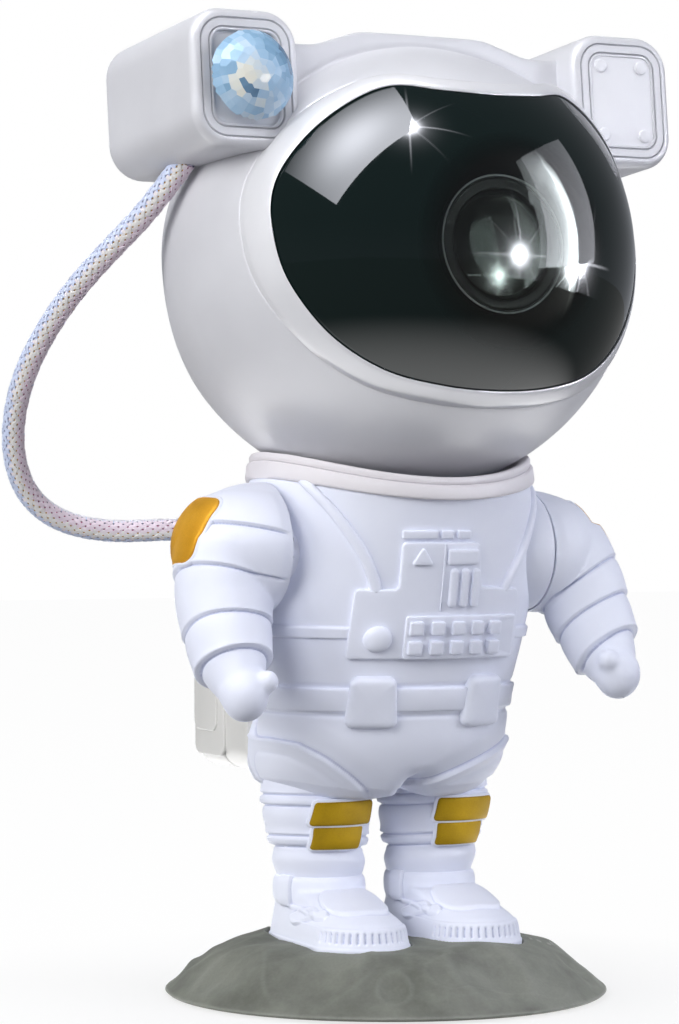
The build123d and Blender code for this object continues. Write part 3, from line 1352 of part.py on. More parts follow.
cable_lower = cable_tube(CABLE_LOWER)
cable_lower.label = "cable_lower"
export_step(cable_lower, "parts/cable_lower.step")

with BuildPart() as ear_cable_gland:
    with BuildSketch(EAR_GLAND_PLANE):
        Circle(GLAND_RADIUS)
    extrude(amount=-GLAND_LENGTH)
    with BuildSketch(EAR_GLAND_PLANE.offset(-1.5)):
        Circle(CABLE_DIAMETER / 2 - 1)
    extrude(amount=-GLAND_LENGTH, mode=Mode.SUBTRACT)
ear_cable_gland.part.label = "ear_cable_gland"
export_step(ear_cable_gland.part, "parts/ear_cable_gland.step")

with BuildPart() as pack_cable_gland:
    with BuildSketch(PACK_GLAND_PLANE):
        Circle(GLAND_RADIUS)
    extrude(amount=-GLAND_LENGTH)
    with BuildSketch(PACK_GLAND_PLANE.offset(-1.5)):
        Circle(CABLE_DIAMETER / 2 - 1)
    extrude(amount=-GLAND_LENGTH, mode=Mode.SUBTRACT)
pack_cable_gland.part.label = "pack_cable_gland"
export_step(pack_cable_gland.part, "parts/pack_cable_gland.step")
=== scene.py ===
"""Dresses the star and nebula projector: a space-suit figure with a braided cable on a moon rock.

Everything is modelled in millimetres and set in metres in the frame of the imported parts: +Z is up,
the figure faces -Y and its left hand is on +X. Pieces of the helmet are shaped about the helmet's
own centre and then set at its pose.
"""

from __future__ import annotations

import json
import logging
import math
import random
from dataclasses import dataclass, field
from enum import Enum
from typing import Callable, Iterable, Sequence

import bpy
import numpy as np
from mathutils import Matrix, Vector, noise
from mathutils.bvhtree import BVHTree

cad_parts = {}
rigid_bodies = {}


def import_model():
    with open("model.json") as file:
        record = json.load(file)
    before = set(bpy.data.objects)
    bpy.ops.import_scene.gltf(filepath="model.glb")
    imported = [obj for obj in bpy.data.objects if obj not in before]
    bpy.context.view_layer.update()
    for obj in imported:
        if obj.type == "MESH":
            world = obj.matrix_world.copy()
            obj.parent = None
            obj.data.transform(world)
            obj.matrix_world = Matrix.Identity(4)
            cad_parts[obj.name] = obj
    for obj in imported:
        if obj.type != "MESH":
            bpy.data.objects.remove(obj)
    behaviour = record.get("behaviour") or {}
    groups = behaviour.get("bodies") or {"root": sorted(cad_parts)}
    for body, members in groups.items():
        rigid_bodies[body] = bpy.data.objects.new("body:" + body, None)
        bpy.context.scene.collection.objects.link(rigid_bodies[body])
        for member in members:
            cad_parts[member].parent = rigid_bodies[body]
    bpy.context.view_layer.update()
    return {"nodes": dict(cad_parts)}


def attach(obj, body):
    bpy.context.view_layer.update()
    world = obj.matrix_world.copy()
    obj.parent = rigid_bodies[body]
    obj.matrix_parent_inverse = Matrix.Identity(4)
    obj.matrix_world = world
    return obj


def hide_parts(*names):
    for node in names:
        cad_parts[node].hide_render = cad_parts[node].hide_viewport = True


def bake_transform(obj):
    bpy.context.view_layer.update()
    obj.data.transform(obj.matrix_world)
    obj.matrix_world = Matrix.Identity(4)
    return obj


LOG = logging.getLogger("projector")
MM = 0.001
Array = np.ndarray
Piece = bpy.types.Object
Node = bpy.types.Node
Socket = bpy.types.NodeSocket
Pair = tuple[float, float]
Triple = tuple[float, float, float]

# ---------------------------------------------------------------- sizes that several pieces share
HELMET_CENTRE = (0.0, -5.1, 174.0)
HELMET_YAW = 4.0
HELMET_PITCH = 6.0
VISOR_OUTLINE = (
    (0.0, 27.8), (12.0, 28.7), (22.4, 30.4), (31.6, 26.8), (40.4, 19.6), (46.3, 10.4),
    (47.9, 0.0), (45.6, -12.5), (38.2, -24.6), (27.2, -33.0), (14.0, -37.0), (0.0, -38.2),
)
VISOR_CENTRE = (0.0, -3.7, -2.0)
VISOR_RADIUS = 53.7
BEZEL_WIDTH = 3.2
EAR_X = 50.0
EAR_Z = 34.1
EAR_FRONT = 24.2
NECK_Y = -1.7
SADDLE_RADIUS = 91.2
LENS_Z = -5.6
CLOSE = 99.0  # inset in a profile at which the face closes at its middle
POLYCARBONATE = 1.58  # index of refraction
ACRYLIC = 1.49
WHITE = (1, 1, 1, 1)


class Side(Enum):
    """Side of the figure, as a sign along X."""

    RIGHT = -1
    LEFT = 1

    @property
    def word(self) -> str:
        """The side's name in piece and node names."""
        return self.name.lower()


class Body(Enum):
    """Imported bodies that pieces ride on."""

    FIGURE = "figure"
    HEAD = "head"
    LEFT_ARM = "left_arm"
    RIGHT_ARM = "right_arm"


# ---------------------------------------------------------------- workbench
def head_pose() -> Matrix:
    """Pose of the helmet's own frame in the figure's frame, in millimetres."""
    turn = Matrix.Rotation(math.radians(HELMET_YAW), 4, "Z")
    return Matrix.Translation(HELMET_CENTRE) @ turn @ Matrix.Rotation(math.radians(-HELMET_PITCH), 4, "X")


def smooth_max(first: Array, second: Array, width: float) -> Array:
    """The greater of two values, rounded over where they meet."""
    return 0.5 * (first + second + np.sqrt((first - second) ** 2 + width**2))


def smooth_step(value: Array, start: float, end: float) -> Array:
    """0 before start, 1 after end, and an even S between them."""
    share = np.clip((value - start) / (end - start), 0.0, 1.0)
    return share * share * (3 - 2 * share)


def groove(distance: Array, width: float, depth: float) -> Array:
    """Soft valley along a line at distance 0, as a negative height."""
    return -depth * np.exp(-((distance / (width / 2)) ** 2))


def line_distance(x: Array, z: Array, points: Sequence[Pair]) -> tuple[Array, Array]:
    """Signed distance from a drawn line of points and the share of the line passed.

    Args:
        x: places across.
        z: places up.
        points: the line's corners, in order.

    Returns:
        The distance, positive on the line's left, and the share from 0 to 1 along it.
    """
    best = np.full(x.shape, 1e9)
    share = np.zeros(x.shape)
    runs = [math.dist(a, b) for a, b in zip(points, points[1:])]
    passed = 0.0
    for (ax, az), (bx, bz), run in zip(points, points[1:], runs):
        dx, dz = (bx - ax) / run, (bz - az) / run
        along = np.clip((x - ax) * dx + (z - az) * dz, 0, run)
        off_x, off_z = x - ax - along * dx, z - az - along * dz
        gap = np.hypot(off_x, off_z)
        signed = np.where(dx * off_z - dz * off_x >= 0, gap, -gap)
        nearer = gap < np.abs(best)
        best = np.where(nearer, signed, best)
        share = np.where(nearer, (passed + along) / sum(runs), share)
        passed += run
    return best, share


def smooth_line(points: Sequence[Sequence[float]], count: int) -> Array:
    """Catmull-Rom line through points, ends kept.

    Args:
        points: two or more places of any dimension.
        count: how many places to return.

    Returns:
        An array of count places.
    """
    knots = np.array(points, float)
    knots = np.vstack([2 * knots[0] - knots[1], knots, 2 * knots[-1] - knots[-2]])
    at = np.linspace(0, len(points) - 1, count)
    index = np.minimum(at.astype(int), len(points) - 2)
    t = (at - index)[:, None]
    p0, p1, p2, p3 = (knots[index + k] for k in range(4))
    return 0.5 * (2 * p1 + (p2 - p0) * t + (2 * p0 - 5 * p1 + 4 * p2 - p3) * t**2
                  + (3 * p1 - p0 - 3 * p2 + p3) * t**3)


def table_lookup(table: Sequence[Sequence[float]], height: Array) -> Array:
    """Columns of a table at any height, on a smooth line through its rows."""
    dense = smooth_line(table, 40 * len(table))
    return np.stack([np.interp(height, dense[:, 0], column) for column in dense.T[1:]], axis=-1)


def closed_line(points: Sequence[Pair], count: int) -> Array:
    """Smooth closed line through points, evenly cut.

    Args:
        points: corners in order, the first not repeated.
        count: how many places to return.

    Returns:
        An array of count places with even steps along the line.
    """
    ring = [points[(i - 2) % len(points)] for i in range(len(points) + 5)]
    dense = smooth_line(ring, 40 * (len(ring) - 1) + 1)[80 : 80 + 40 * len(points) + 1]
    run = np.concatenate([[0], np.cumsum(np.linalg.norm(np.diff(dense, axis=0), axis=1))])
    at = np.linspace(0, run[-1], count, endpoint=False)
    return np.stack([np.interp(at, run, dense[:, k]) for k in range(2)], axis=1)


def grown(outline: Array, amount: float) -> Array:
    """A closed outline moved outwards along its own normals."""
    along = np.roll(outline, -1, axis=0) - np.roll(outline, 1, axis=0)
    along /= np.linalg.norm(along, axis=1)[:, None]
    return outline + amount * np.stack([-along[:, 1], along[:, 0]], axis=1)


def rounded_rectangle(width: float, height: float, corner: float, inset: float = 0.0) -> Array:
    """Outline with round corners, always of 72 points, so that insets of it match.

    Args:
        width: full width.
        height: full height.
        corner: corner radius.
        inset: how far the outline is moved inwards.

    Returns:
        The points, anticlockwise about the origin.
    """
    radius = max(corner - inset, 0.25)
    half_w, half_h = width / 2 - inset - radius, height / 2 - inset - radius
    points = []
    for quarter, (sx, sz) in enumerate(((1, 1), (-1, 1), (-1, -1), (1, -1))):
        for step in range(12):
            turn = math.radians(90 * quarter + 90 * step / 11)
            points.append((sx * half_w + radius * math.cos(turn), sz * half_h + radius * math.sin(turn)))
        next_x, next_z = ((-1, 1), (-1, -1), (1, -1), (1, 1))[quarter]
        start = points[-1]
        turn = math.radians(90 * (quarter + 1))
        end = (next_x * half_w + radius * math.cos(turn), next_z * half_h + radius * math.sin(turn))
        for step in range(1, 7):
            share = step / 7
            points.append((start[0] + (end[0] - start[0]) * share, start[1] + (end[1] - start[1]) * share))
    return np.array(points)


def clear_selection() -> None:
    """Deselects every object, so that an operator acts on nothing else."""
    for thing in bpy.context.view_layer.objects:
        thing.select_set(False)


def take(piece: Piece) -> Piece:
    """Makes one piece the active and only selected object."""
    clear_selection()
    piece.select_set(True)
    bpy.context.view_layer.objects.active = piece
    return piece


def coordinates(piece: Piece) -> Array:
    """The piece's vertices in millimetres."""
    flat = np.empty(len(piece.data.vertices) * 3, np.float32)
    piece.data.vertices.foreach_get("co", flat)
    return flat.reshape(-1, 3).astype(float) / MM


def place_vertices(piece: Piece, places: Array) -> None:
    """Moves the piece's vertices to places in millimetres."""
    piece.data.vertices.foreach_set("co", (places * MM).astype(np.float32).ravel())
    piece.data.update()


def sculpt(piece: Piece, push: Callable[[Array], Array]) -> None:
    """Moves every vertex by a function of its place."""
    place_vertices(piece, push(coordinates(piece)))


def merge(piece: Piece, gap: float = 0.004, outwards: bool = True) -> None:
    """Merges doubled vertices within gap millimetres and turns the faces outwards."""
    take(piece)
    bpy.ops.object.mode_set(mode="EDIT")
    bpy.ops.mesh.select_all(action="SELECT")
    bpy.ops.mesh.remove_doubles(threshold=gap * MM)
    if outwards:
        bpy.ops.mesh.normals_make_consistent(inside=False)
    bpy.ops.object.mode_set(mode="OBJECT")


def loft(name: str, rings: Sequence[Array], closed: bool = True) -> Piece:
    """Skin over a row of matching rings: a grid whose vertices are moved to them.

    Args:
        name: the piece's name.
        rings: arrays of the same count of places, in millimetres.
        closed: whether each ring comes back to its first place.

    Returns:
        The piece, with its seam and poles merged and a UV map that runs round and along.
    """
    skin = np.array(rings)
    if closed:
        skin = np.concatenate([skin, skin[:, :1]], axis=1)
    rows, columns = skin.shape[:2]
    clear_selection()
    bpy.ops.mesh.primitive_grid_add(x_subdivisions=columns - 1, y_subdivisions=rows - 1, size=2)
    piece = bpy.context.object
    piece.name = piece.data.name = name
    flat = coordinates(piece) * MM
    column = np.rint((flat[:, 0] + 1) / 2 * (columns - 1)).astype(int)
    row = np.rint((flat[:, 1] + 1) / 2 * (rows - 1)).astype(int)
    place_vertices(piece, skin[row, column])
    merge(piece)
    return piece


def loops(outline_at: Callable[[float], Array], profile: Iterable[Pair]) -> list[Array]:
    """Rings of a moulding: an outline inset as the profile says, at the depth that it says.

    Args:
        outline_at: gives the outline in x and z for an inset.
        profile: pairs of inset and y. An inset of CLOSE closes the face at the outline's middle.

    Returns:
        The rings in order.
    """
    rings = []
    for inset, y in profile:
        if inset >= CLOSE:
            flat = outline_at(0.0)
            centre = rings[-1].mean(axis=0)[[0, 2]] if rings else flat.mean(axis=0)
            flat = np.repeat(centre[None], len(flat), axis=0)
        else:
            flat = outline_at(inset)
        rings.append(np.column_stack([flat[:, 0], np.full(len(flat), y), flat[:, 1]]))
    return rings


def turned(profile: Iterable[Pair], step: float, x: float = 0.0, z: float = 0.0) -> list[Array]:
    """Rings of a part that is turned about a line along Y.

    Args:
        profile: pairs of radius and y.
        step: degrees from each place of a ring to the next.
        x: where the line lies across.
        z: where it lies up.

    Returns:
        The rings in order.
    """
    turns = np.radians(np.arange(0, 360, step))
    cos, sin = np.cos(turns), np.sin(turns)
    return [np.column_stack([x + r * cos, np.full(len(turns), y), z + r * sin]) for r, y in profile]


def capped(rings: Sequence[Array]) -> list[Array]:
    """Rings with a point added in the middle of the first and of the last."""
    first, last = (np.tile(ring.mean(axis=0), (len(ring), 1)) for ring in (rings[0], rings[-1]))
    return [first, *rings, last]


def rear_round(edge: float, back: float, first: int) -> list[Pair]:
    """Insets and depths of a rim that rounds over to a rear face, from one of its nine steps on."""
    leans = [math.radians(90 * step / 8) for step in range(first, 9)]
    return [(edge * (1 - math.cos(lean)), back - edge * (1 - math.sin(lean))) for lean in leans]


def upright(direction: Sequence[float]) -> tuple[Array, Array, Array]:
    """Unit directions across, up and out for what looks in a direction."""
    out = np.array(direction) / np.linalg.norm(direction)
    across = np.cross((0, 0, 1), out)
    across /= np.linalg.norm(across)
    return across, np.cross(out, across), out


def plate(name: str, outline: Array, thickness: float, bevel: float, cut: float = 0.0) -> Piece:
    """Flat plate with a rounded rim, drawn in x and z, whose face looks to -Y.

    Args:
        name: the piece's name.
        outline: its corners in order.
        thickness: from its back, at y = 0, to its face, at y = -thickness.
        bevel: radius of the face's rim.
        cut: step of the cuts that let it bend later, or 0 for none.

    Returns:
        The plate.
    """
    clear_selection()
    bpy.ops.mesh.primitive_circle_add(vertices=len(outline), radius=1, fill_type="NGON")
    piece = bpy.context.object
    piece.name = piece.data.name = name
    flat = coordinates(piece) * MM
    turn = np.arctan2(flat[:, 1], flat[:, 0])
    order = np.rint(turn / (2 * math.pi) * len(outline)).astype(int) % len(outline)
    place_vertices(piece, np.column_stack([outline[order, 0], np.zeros(len(order)), outline[order, 1]]))
    bpy.ops.object.mode_set(mode="EDIT")
    bpy.ops.mesh.select_all(action="SELECT")
    bpy.ops.mesh.extrude_region_move(TRANSFORM_OT_translate={"value": (0, -thickness * MM, 0)})
    bpy.ops.mesh.bevel(offset=bevel * MM, segments=3, affect="EDGES")
    if cut:
        low, high = outline.min(axis=0), outline.max(axis=0)
        for axis, normal in ((0, (1, 0, 0)), (1, (0, 0, 1))):
            for at in np.arange(low[axis] + cut, high[axis] - cut / 4, cut):
                spot = (at * MM, 0, 0) if axis == 0 else (0, 0, at * MM)
                bpy.ops.mesh.select_all(action="SELECT")
                bpy.ops.mesh.bisect(plane_co=spot, plane_no=normal)
    bpy.ops.mesh.select_all(action="SELECT")
    bpy.ops.mesh.normals_make_consistent(inside=False)
    bpy.ops.object.mode_set(mode="OBJECT")
    return piece


def ball(name: str, centre: Sequence[float], radii: Sequence[float], segments: int = 48) -> Piece:
    """Ellipsoid that a soft piece is built up from."""
    clear_selection()
    bpy.ops.mesh.primitive_uv_sphere_add(segments=segments, ring_count=segments // 2, radius=1)
    piece = bpy.context.object
    piece.name = piece.data.name = name
    sculpt(piece, lambda at: at * MM * np.array(radii) + np.array(centre))
    return piece


def join(name: str, pieces: Sequence[Piece]) -> Piece:
    """Joins pieces into one object."""
    take(pieces[0])
    for piece in pieces:
        piece.select_set(True)
    bpy.ops.object.join()
    pieces[0].name = pieces[0].data.name = name
    return pieces[0]


def modify(piece: Piece, kind: str, **settings: object) -> None:
    """Adds one modifier with its settings and applies it."""
    take(piece)
    modifier = piece.modifiers.new(kind.title(), kind)
    for key, value in settings.items():
        setattr(modifier, key, value)
    bpy.ops.object.modifier_apply(modifier=modifier.name)


def cut_off(piece: Piece, place: Sequence[float], normal: Sequence[float]) -> None:
    """Cuts away what lies behind a plane through a place in mm, and closes the cut."""
    take(piece)
    bpy.ops.object.mode_set(mode="EDIT")
    bpy.ops.mesh.select_all(action="SELECT")
    bpy.ops.mesh.bisect(
        plane_co=[value * MM for value in place], plane_no=normal, use_fill=True, clear_inner=True)
    bpy.ops.object.mode_set(mode="OBJECT")


def melt(piece: Piece, voxel: float, smoothing: int) -> None:
    """Fuses a joined piece into one skin and softens it, as clay is smoothed with a thumb."""
    modify(piece, "REMESH", mode="VOXEL", voxel_size=voxel * MM)
    if smoothing:
        modify(piece, "SMOOTH", factor=0.5, iterations=smoothing)


def normals(piece: Piece) -> Array:
    """The piece's vertex normals."""
    flat = np.empty(len(piece.data.vertices) * 3, np.float32)
    piece.data.vertices.foreach_get("normal", flat)
    return flat.reshape(-1, 3).astype(float)


def emboss(piece: Piece, height: Callable[[Array, Array], Array]) -> None:
    """Raises the skin along its normals by a function of place and normal, in millimetres."""
    at, facing = coordinates(piece), normals(piece)
    place_vertices(piece, at + facing * height(at, facing)[:, None])


def shade(piece: Piece, angle: float | None = None) -> None:
    """Shades smooth, with edges sharper than an angle in degrees kept when one is given."""
    take(piece)
    if angle is None:
        bpy.ops.object.shade_smooth()
    else:
        bpy.ops.object.shade_smooth_by_angle(angle=math.radians(angle))


def onto_head(piece: Piece) -> None:
    """Sets a piece that was shaped about the helmet's centre at the helmet's pose."""
    pose = np.array(head_pose())
    sculpt(piece, lambda at: at @ pose[:3, :3].T + pose[:3, 3])


def head_piece(name: str, rings: Sequence[Array], angle: float | None = None) -> Piece:
    """Lofts a piece about the helmet's centre, shades it and sets it at the helmet's pose."""
    piece = loft(name, rings)
    shade(piece, angle)
    onto_head(piece)
    return piece


def hand_over(piece: Piece, body: Body, slot: str, finish: Finish, *nodes: str) -> Piece:
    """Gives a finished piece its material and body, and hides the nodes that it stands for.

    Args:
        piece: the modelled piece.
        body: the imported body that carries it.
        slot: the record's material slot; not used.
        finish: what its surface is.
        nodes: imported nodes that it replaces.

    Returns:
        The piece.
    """
    piece.data.materials.clear()
    piece.data.materials.append(finish.material())
    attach(piece, body.value)
    if nodes:
        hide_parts(*nodes)
    LOG.info("%s: %d faces on %s", piece.name, len(piece.data.polygons), body.value)
    return piece


# ---------------------------------------------------------------- finishes
def srgb(code: str) -> tuple[float, float, float, float]:
    """An sRGB hex value such as '#dfe2ea' as linear light."""
    parts = [int(code[i : i + 2], 16) / 255 for i in (1, 3, 5)]
    linear = [p / 12.92 if p <= 0.04045 else ((p + 0.055) / 1.055) ** 2.4 for p in parts]
    return (*linear, 1.0)


def grain_scale(size: float) -> float:
    """Texture scale at which a pattern's features are size millimetres apart."""
    return 1 / (size * MM)


@dataclass
class Bench:
    """The nodes of a material or a world, started afresh."""

    owner: bpy.types.ID

    def __post_init__(self) -> None:
        """Empties the owner's node tree."""
        self.owner.use_nodes = True
        self.tree = self.owner.node_tree
        self.tree.nodes.clear()

    def wire(self, node: Node, settings: dict | None = None, links: dict | None = None) -> Node:
        """Sets a node up.

        Args:
            node: the node.
            settings: input sockets by name or number, or properties, and their values.
            links: input sockets by name or number, and the sockets or the nodes, for their first
                output, that feed them.

        Returns:
            The node.
        """
        for key, value in (settings or {}).items():
            if isinstance(key, int) or key in node.inputs:
                node.inputs[key].default_value = value
            else:
                setattr(node, key, value)
        for key, source in (links or {}).items():
            self.tree.links.new(source.outputs[0] if isinstance(source, Node) else source, node.inputs[key])
        return node

    def add(
        self, kind: str, settings: dict | None = None, links: dict | None = None,
        ramp: Sequence[tuple[float, str]] = (),
    ) -> Node:
        """Adds a node.

        Args:
            kind: its type, without the ShaderNode in front.
            settings: as for wire().
            links: as for wire().
            ramp: stops of a colour ramp, as position and hex colour.

        Returns:
            The node.
        """
        node = self.wire(self.tree.nodes.new("ShaderNode" + kind), settings, links)
        if ramp:
            stops = node.color_ramp.elements
            while len(stops) < len(ramp):
                stops.new(0.5)
            for stop, (position, code) in zip(stops, ramp):
                stop.position, stop.color = position, srgb(code)
        return node

    def place(self, kind: str = "Object") -> Socket:
        """The surface's place, in the object's own coordinates unless another kind is named."""
        return self.add("TexCoord").outputs[kind]

    def attribute(self, name: str) -> Socket:
        """A value that the mesh holds."""
        return self.add("Attribute", {"attribute_name": name}).outputs["Fac"]

    def edges(self) -> Socket:
        """How far the surface stands out: over a half on edges, under it in creases."""
        return self.add("NewGeometry").outputs["Pointiness"]

    def cloud(
        self, size: float, detail: float = 2.0, roughness: float = 0.5, place: Node | Socket | None = None,
    ) -> Socket:
        """Noise from 0 to 1.

        Args:
            size: how far apart its features are, in mm.
            detail: number of finer layers.
            roughness: how strong they are.
            place: what it is laid out by, if not by the object's own coordinates.

        Returns:
            The noise.
        """
        settings = {"Scale": grain_scale(size), "Detail": detail, "Roughness": roughness}
        return self.add("TexNoise", settings, {"Vector": place or self.place()}).outputs["Fac"]

    def span(self, source: Node | Socket, start: float, end: float, low: float, high: float) -> Node:
        """Maps a value, which runs from start to end, to run from low to high."""
        return self.add("MapRange", {1: start, 2: end, 3: low, 4: high}, {0: source})

    def combine(self, operation: str, first: Node | Socket, second: Node | Socket) -> Node:
        """Works out one value from two."""
        return self.add("Math", {"operation": operation}, {0: first, 1: second})

    def scaled(self, colour: Node, factor: Node) -> Node:
        """Multiplies a colour by a factor."""
        return self.add("VectorMath", {"operation": "SCALE"}, {0: colour, "Scale": factor})

    def bump(self, height: Socket, strength: float, rise: float, under: Node | None = None) -> Node:
        """Fine relief of a rise in mm, over another one where there is one."""
        links = {"Height": height, "Normal": under} if under else {"Height": height}
        return self.add("Bump", {"Strength": strength, "Distance": rise * MM}, links)

    def mix(self, share: Node | Socket, first: Node, second: Node) -> Node:
        """Mixes two shaders by the second one's share."""
        return self.add("MixShader", links={0: share, 1: first, 2: second})


@dataclass(frozen=True)
class Finish:
    """One real surface. A kind of finish fills in paint()."""

    title: str

    def material(self) -> bpy.types.Material:
        """The finish's material, made once."""
        known = bpy.data.materials.get(self.title)
        if known:
            return known
        bench = Bench(bpy.data.materials.new(self.title))
        surface = self.paint(bench, bench.add("BsdfPrincipled"))
        bench.add("OutputMaterial", links={"Surface": surface})
        return bench.owner

    def paint(self, bench: Bench, shader: Node) -> Node:
        """Builds the surface.

        Args:
            bench: the material's nodes.
            shader: its Principled shader.

        Returns:
            The node that gives the surface: the shader, or a mix with it.
        """
        raise NotImplementedError


@dataclass(frozen=True)
class MouldedPlastic(Finish):
    """Injection-moulded or slush-moulded plastic: satin skin, faint tool grain, and painted shade in its
    creases.
    """

    colour: str
    crease_shade: str
    roughness: float = 0.36
    grain: float = 0.35  # fine spark-eroded tool texture, in mm
    relief: float = 0.012  # height of that texture, in mm
    coat: float = 0.0
    specular: float = 0.5

    def paint(self, bench: Bench, shader: Node) -> Node:
        """Mottles the colour, paints shade into the creases and gives the skin its tool grain."""
        place = bench.place()
        cloud = bench.cloud(26, 3.0, place=place)
        tone = bench.span(cloud, 0.35, 0.65, 0.0, 0.10)
        # Painted shade: where Pointiness is under a half, in the hollows, the colour turns to the crease
        # colour.
        dark = bench.span(bench.edges(), 0.40, 0.495, 0.85, 0.0)
        colour = bench.add(
            "MixRGB", {"Color1": srgb(self.colour), "Color2": srgb(self.crease_shade)},
            {"Fac": bench.combine("MAXIMUM", tone, dark)})
        rough = bench.span(cloud, 0, 1, self.roughness - 0.04, self.roughness + 0.05)
        grain = bench.bump(bench.cloud(self.grain, place=place), 0.35, self.relief)
        return bench.wire(
            shader,
            {"IOR": 1.5, "Specular IOR Level": self.specular, "Coat Weight": self.coat,
             "Coat Roughness": 0.18},
            {"Base Color": colour, "Roughness": rough, "Normal": grain})


@dataclass(frozen=True)
class CastRock(Finish):
    """Painted cast resin that is shaped as moon rock: matte, dusty, blotched grey-green."""

    low: str
    high: str
    pale: str

    def paint(self, bench: Bench, shader: Node) -> Node:
        """Blotches at 17 mm, dents at 3.2 mm, grit at 0.7 mm, and paler raised edges, as wear and as a
        painted highlight.
        """
        place = bench.place()
        blotch = bench.cloud(17, 4.0, 0.55, place)
        body = bench.add("ValToRGB", links={"Fac": blotch}, ramp=((0.34, self.low), (0.62, self.high)))
        # Raised edges turn paler: partly wear, partly a painted highlight.
        edge_wear_and_highlight = bench.span(bench.edges(), 0.50, 0.56, 0.0, 0.7)
        worn = bench.add("MixRGB", {"Color2": srgb(self.pale)}, {"Fac": edge_wear_and_highlight, "Color1": body})
        grit = bench.cloud(0.7, 5.0, 0.6, place)
        colour = bench.scaled(worn, bench.span(grit, 0.3, 0.7, 0.93, 1.06))
        dents = bench.bump(bench.cloud(3.2, 5.0, 0.6, place), 0.5, 0.25)
        return bench.wire(
            shader, {"Roughness": 0.78, "Specular IOR Level": 0.28},
            {"Base Color": colour, "Normal": bench.bump(grit, 0.5, 0.05, dents)})


@dataclass(frozen=True)
class GoldPaint(Finish):
    """Sprayed ochre-gold lacquer with fine flakes: satin, with a slow drift of tone."""

    colour: str
    deep: str

    def paint(self, bench: Bench, shader: Node) -> Node:
        """Drifts the tone over 9 mm and scatters flakes drawn at 0.25 mm so that they show."""
        place = bench.place()
        drift = bench.cloud(9, place=place)
        tone = bench.add("ValToRGB", links={"Fac": drift}, ramp=((0.3, self.deep), (0.7, self.colour)))
        flake = bench.add("TexVoronoi", {"Scale": grain_scale(0.25)}, {"Vector": place}).outputs
        colour = bench.scaled(tone, bench.span(flake["Color"], 0, 1, 0.94, 1.08))
        return bench.wire(
            shader, {"Metallic": 0.15, "Roughness": 0.5, "Specular IOR Level": 0.1},
            {"Base Color": colour, "Normal": bench.bump(flake["Distance"], 0.3, 0.01)})


@dataclass(frozen=True)
class SmokedAcrylic(Finish):
    """Near-black polished acrylic shell with a clear window that is masked over the lens."""

    colour: str
    window: float  # radius of the clear window, in mm
    window_z: float  # its middle, about the helmet's centre, in mm
    clearness: str

    def paint(self, bench: Bench, shader: Node) -> Node:
        """Polished dark shell, with a see-through disc where the lens looks out."""
        pose = head_pose()
        bench.wire(shader, {
            "Base Color": srgb(self.colour), "Roughness": 0.03, "IOR": ACRYLIC, "Specular IOR Level": 0.22})
        local = bench.add(
            "Mapping",
            {"vector_type": "TEXTURE", "Location": Vector(pose.translation) * MM,
             "Rotation": pose.to_euler()},
            {"Vector": bench.place()})
        disc = bench.add(
            "Mapping",
            {"vector_type": "POINT", "Location": (0, 0, -self.window_z * MM), "Scale": (1, 0, 1)},
            {"Vector": local})
        away = bench.add("VectorMath", {"operation": "LENGTH"}, {0: disc}).outputs["Value"]
        mask = bench.span(away, (self.window - 6.0) * MM, self.window * MM, 1.0, 0.0)
        clear = bench.add("BsdfTransparent", {"Color": srgb(self.clearness)})
        gloss = bench.add("BsdfGlossy", {"Color": WHITE, "Roughness": 0.03})
        return bench.mix(mask, shader, bench.mix(bench.add("Fresnel", {"IOR": 1.3}), clear, gloss))


@dataclass(frozen=True)
class ClearMoulding(Finish):
    """Polished clear plastic: sharp refraction, almost no grain."""

    colour: str
    roughness: float = 0.02
    specular: float = 0.5

    def paint(self, bench: Bench, shader: Node) -> Node:
        """Tinted glass with a faint flow ripple of 5 mm from moulding."""
        return bench.wire(
            shader,
            {"Base Color": srgb(self.colour), "Roughness": self.roughness, "Transmission Weight": 1.0,
             "IOR": ACRYLIC, "Specular IOR Level": self.specular},
            {"Normal": bench.bump(bench.cloud(5), 0.15, 0.03)})


@dataclass(frozen=True)
class FacetedDome(Finish):
    """Clear blue polycarbonate cut in facets, each with its own tone from pale to dark: painted reflections
    and painted shade.
    """

    painted_light_tones: tuple[str, ...]

    def paint(self, bench: Bench, shader: Node) -> Node:
        """Reads the painted reflection and shade of the facets from the mesh, with a soft cloud of 3 mm
        inside.
        """
        level = bench.combine("ADD", bench.attribute("facet"), bench.span(bench.cloud(3), 0, 1, -0.08, 0.08))
        last = len(self.painted_light_tones) - 1
        tone = bench.add(
            "ValToRGB", links={"Fac": level}, ramp=[(k / last, code) for k, code in enumerate(self.painted_light_tones)])
        return bench.wire(
            shader,
            {"Roughness": 0.22, "IOR": POLYCARBONATE, "Specular IOR Level": 0.08,
             "Transmission Weight": 0.08},
            {"Base Color": tone})


@dataclass(frozen=True)
class BraidedSleeve(Finish):
    """Woven nylon sleeve: each thread has its own dye, with a silky sheen and fine fibres."""

    yarns: tuple[str, ...]

    def paint(self, bench: Bench, shader: Node) -> Node:
        """Reads each thread's dye from the mesh and rubs fibres of 0.12 mm into it."""
        count = len(self.yarns)
        tone = bench.add(
            "ValToRGB", links={"Fac": bench.attribute("yarn")},
            ramp=[(k / count, code) for k, code in enumerate(self.yarns)])
        tone.color_ramp.interpolation = "CONSTANT"
        fibre = bench.cloud(0.12, 3.0)
        return bench.wire(
            shader, {"Roughness": 0.55, "Sheen Weight": 0.25, "Sheen Roughness": 0.4},
            {"Base Color": bench.scaled(tone, bench.span(fibre, 0, 1, 0.86, 1.08)),
             "Normal": bench.bump(fibre, 0.6, 0.03)})


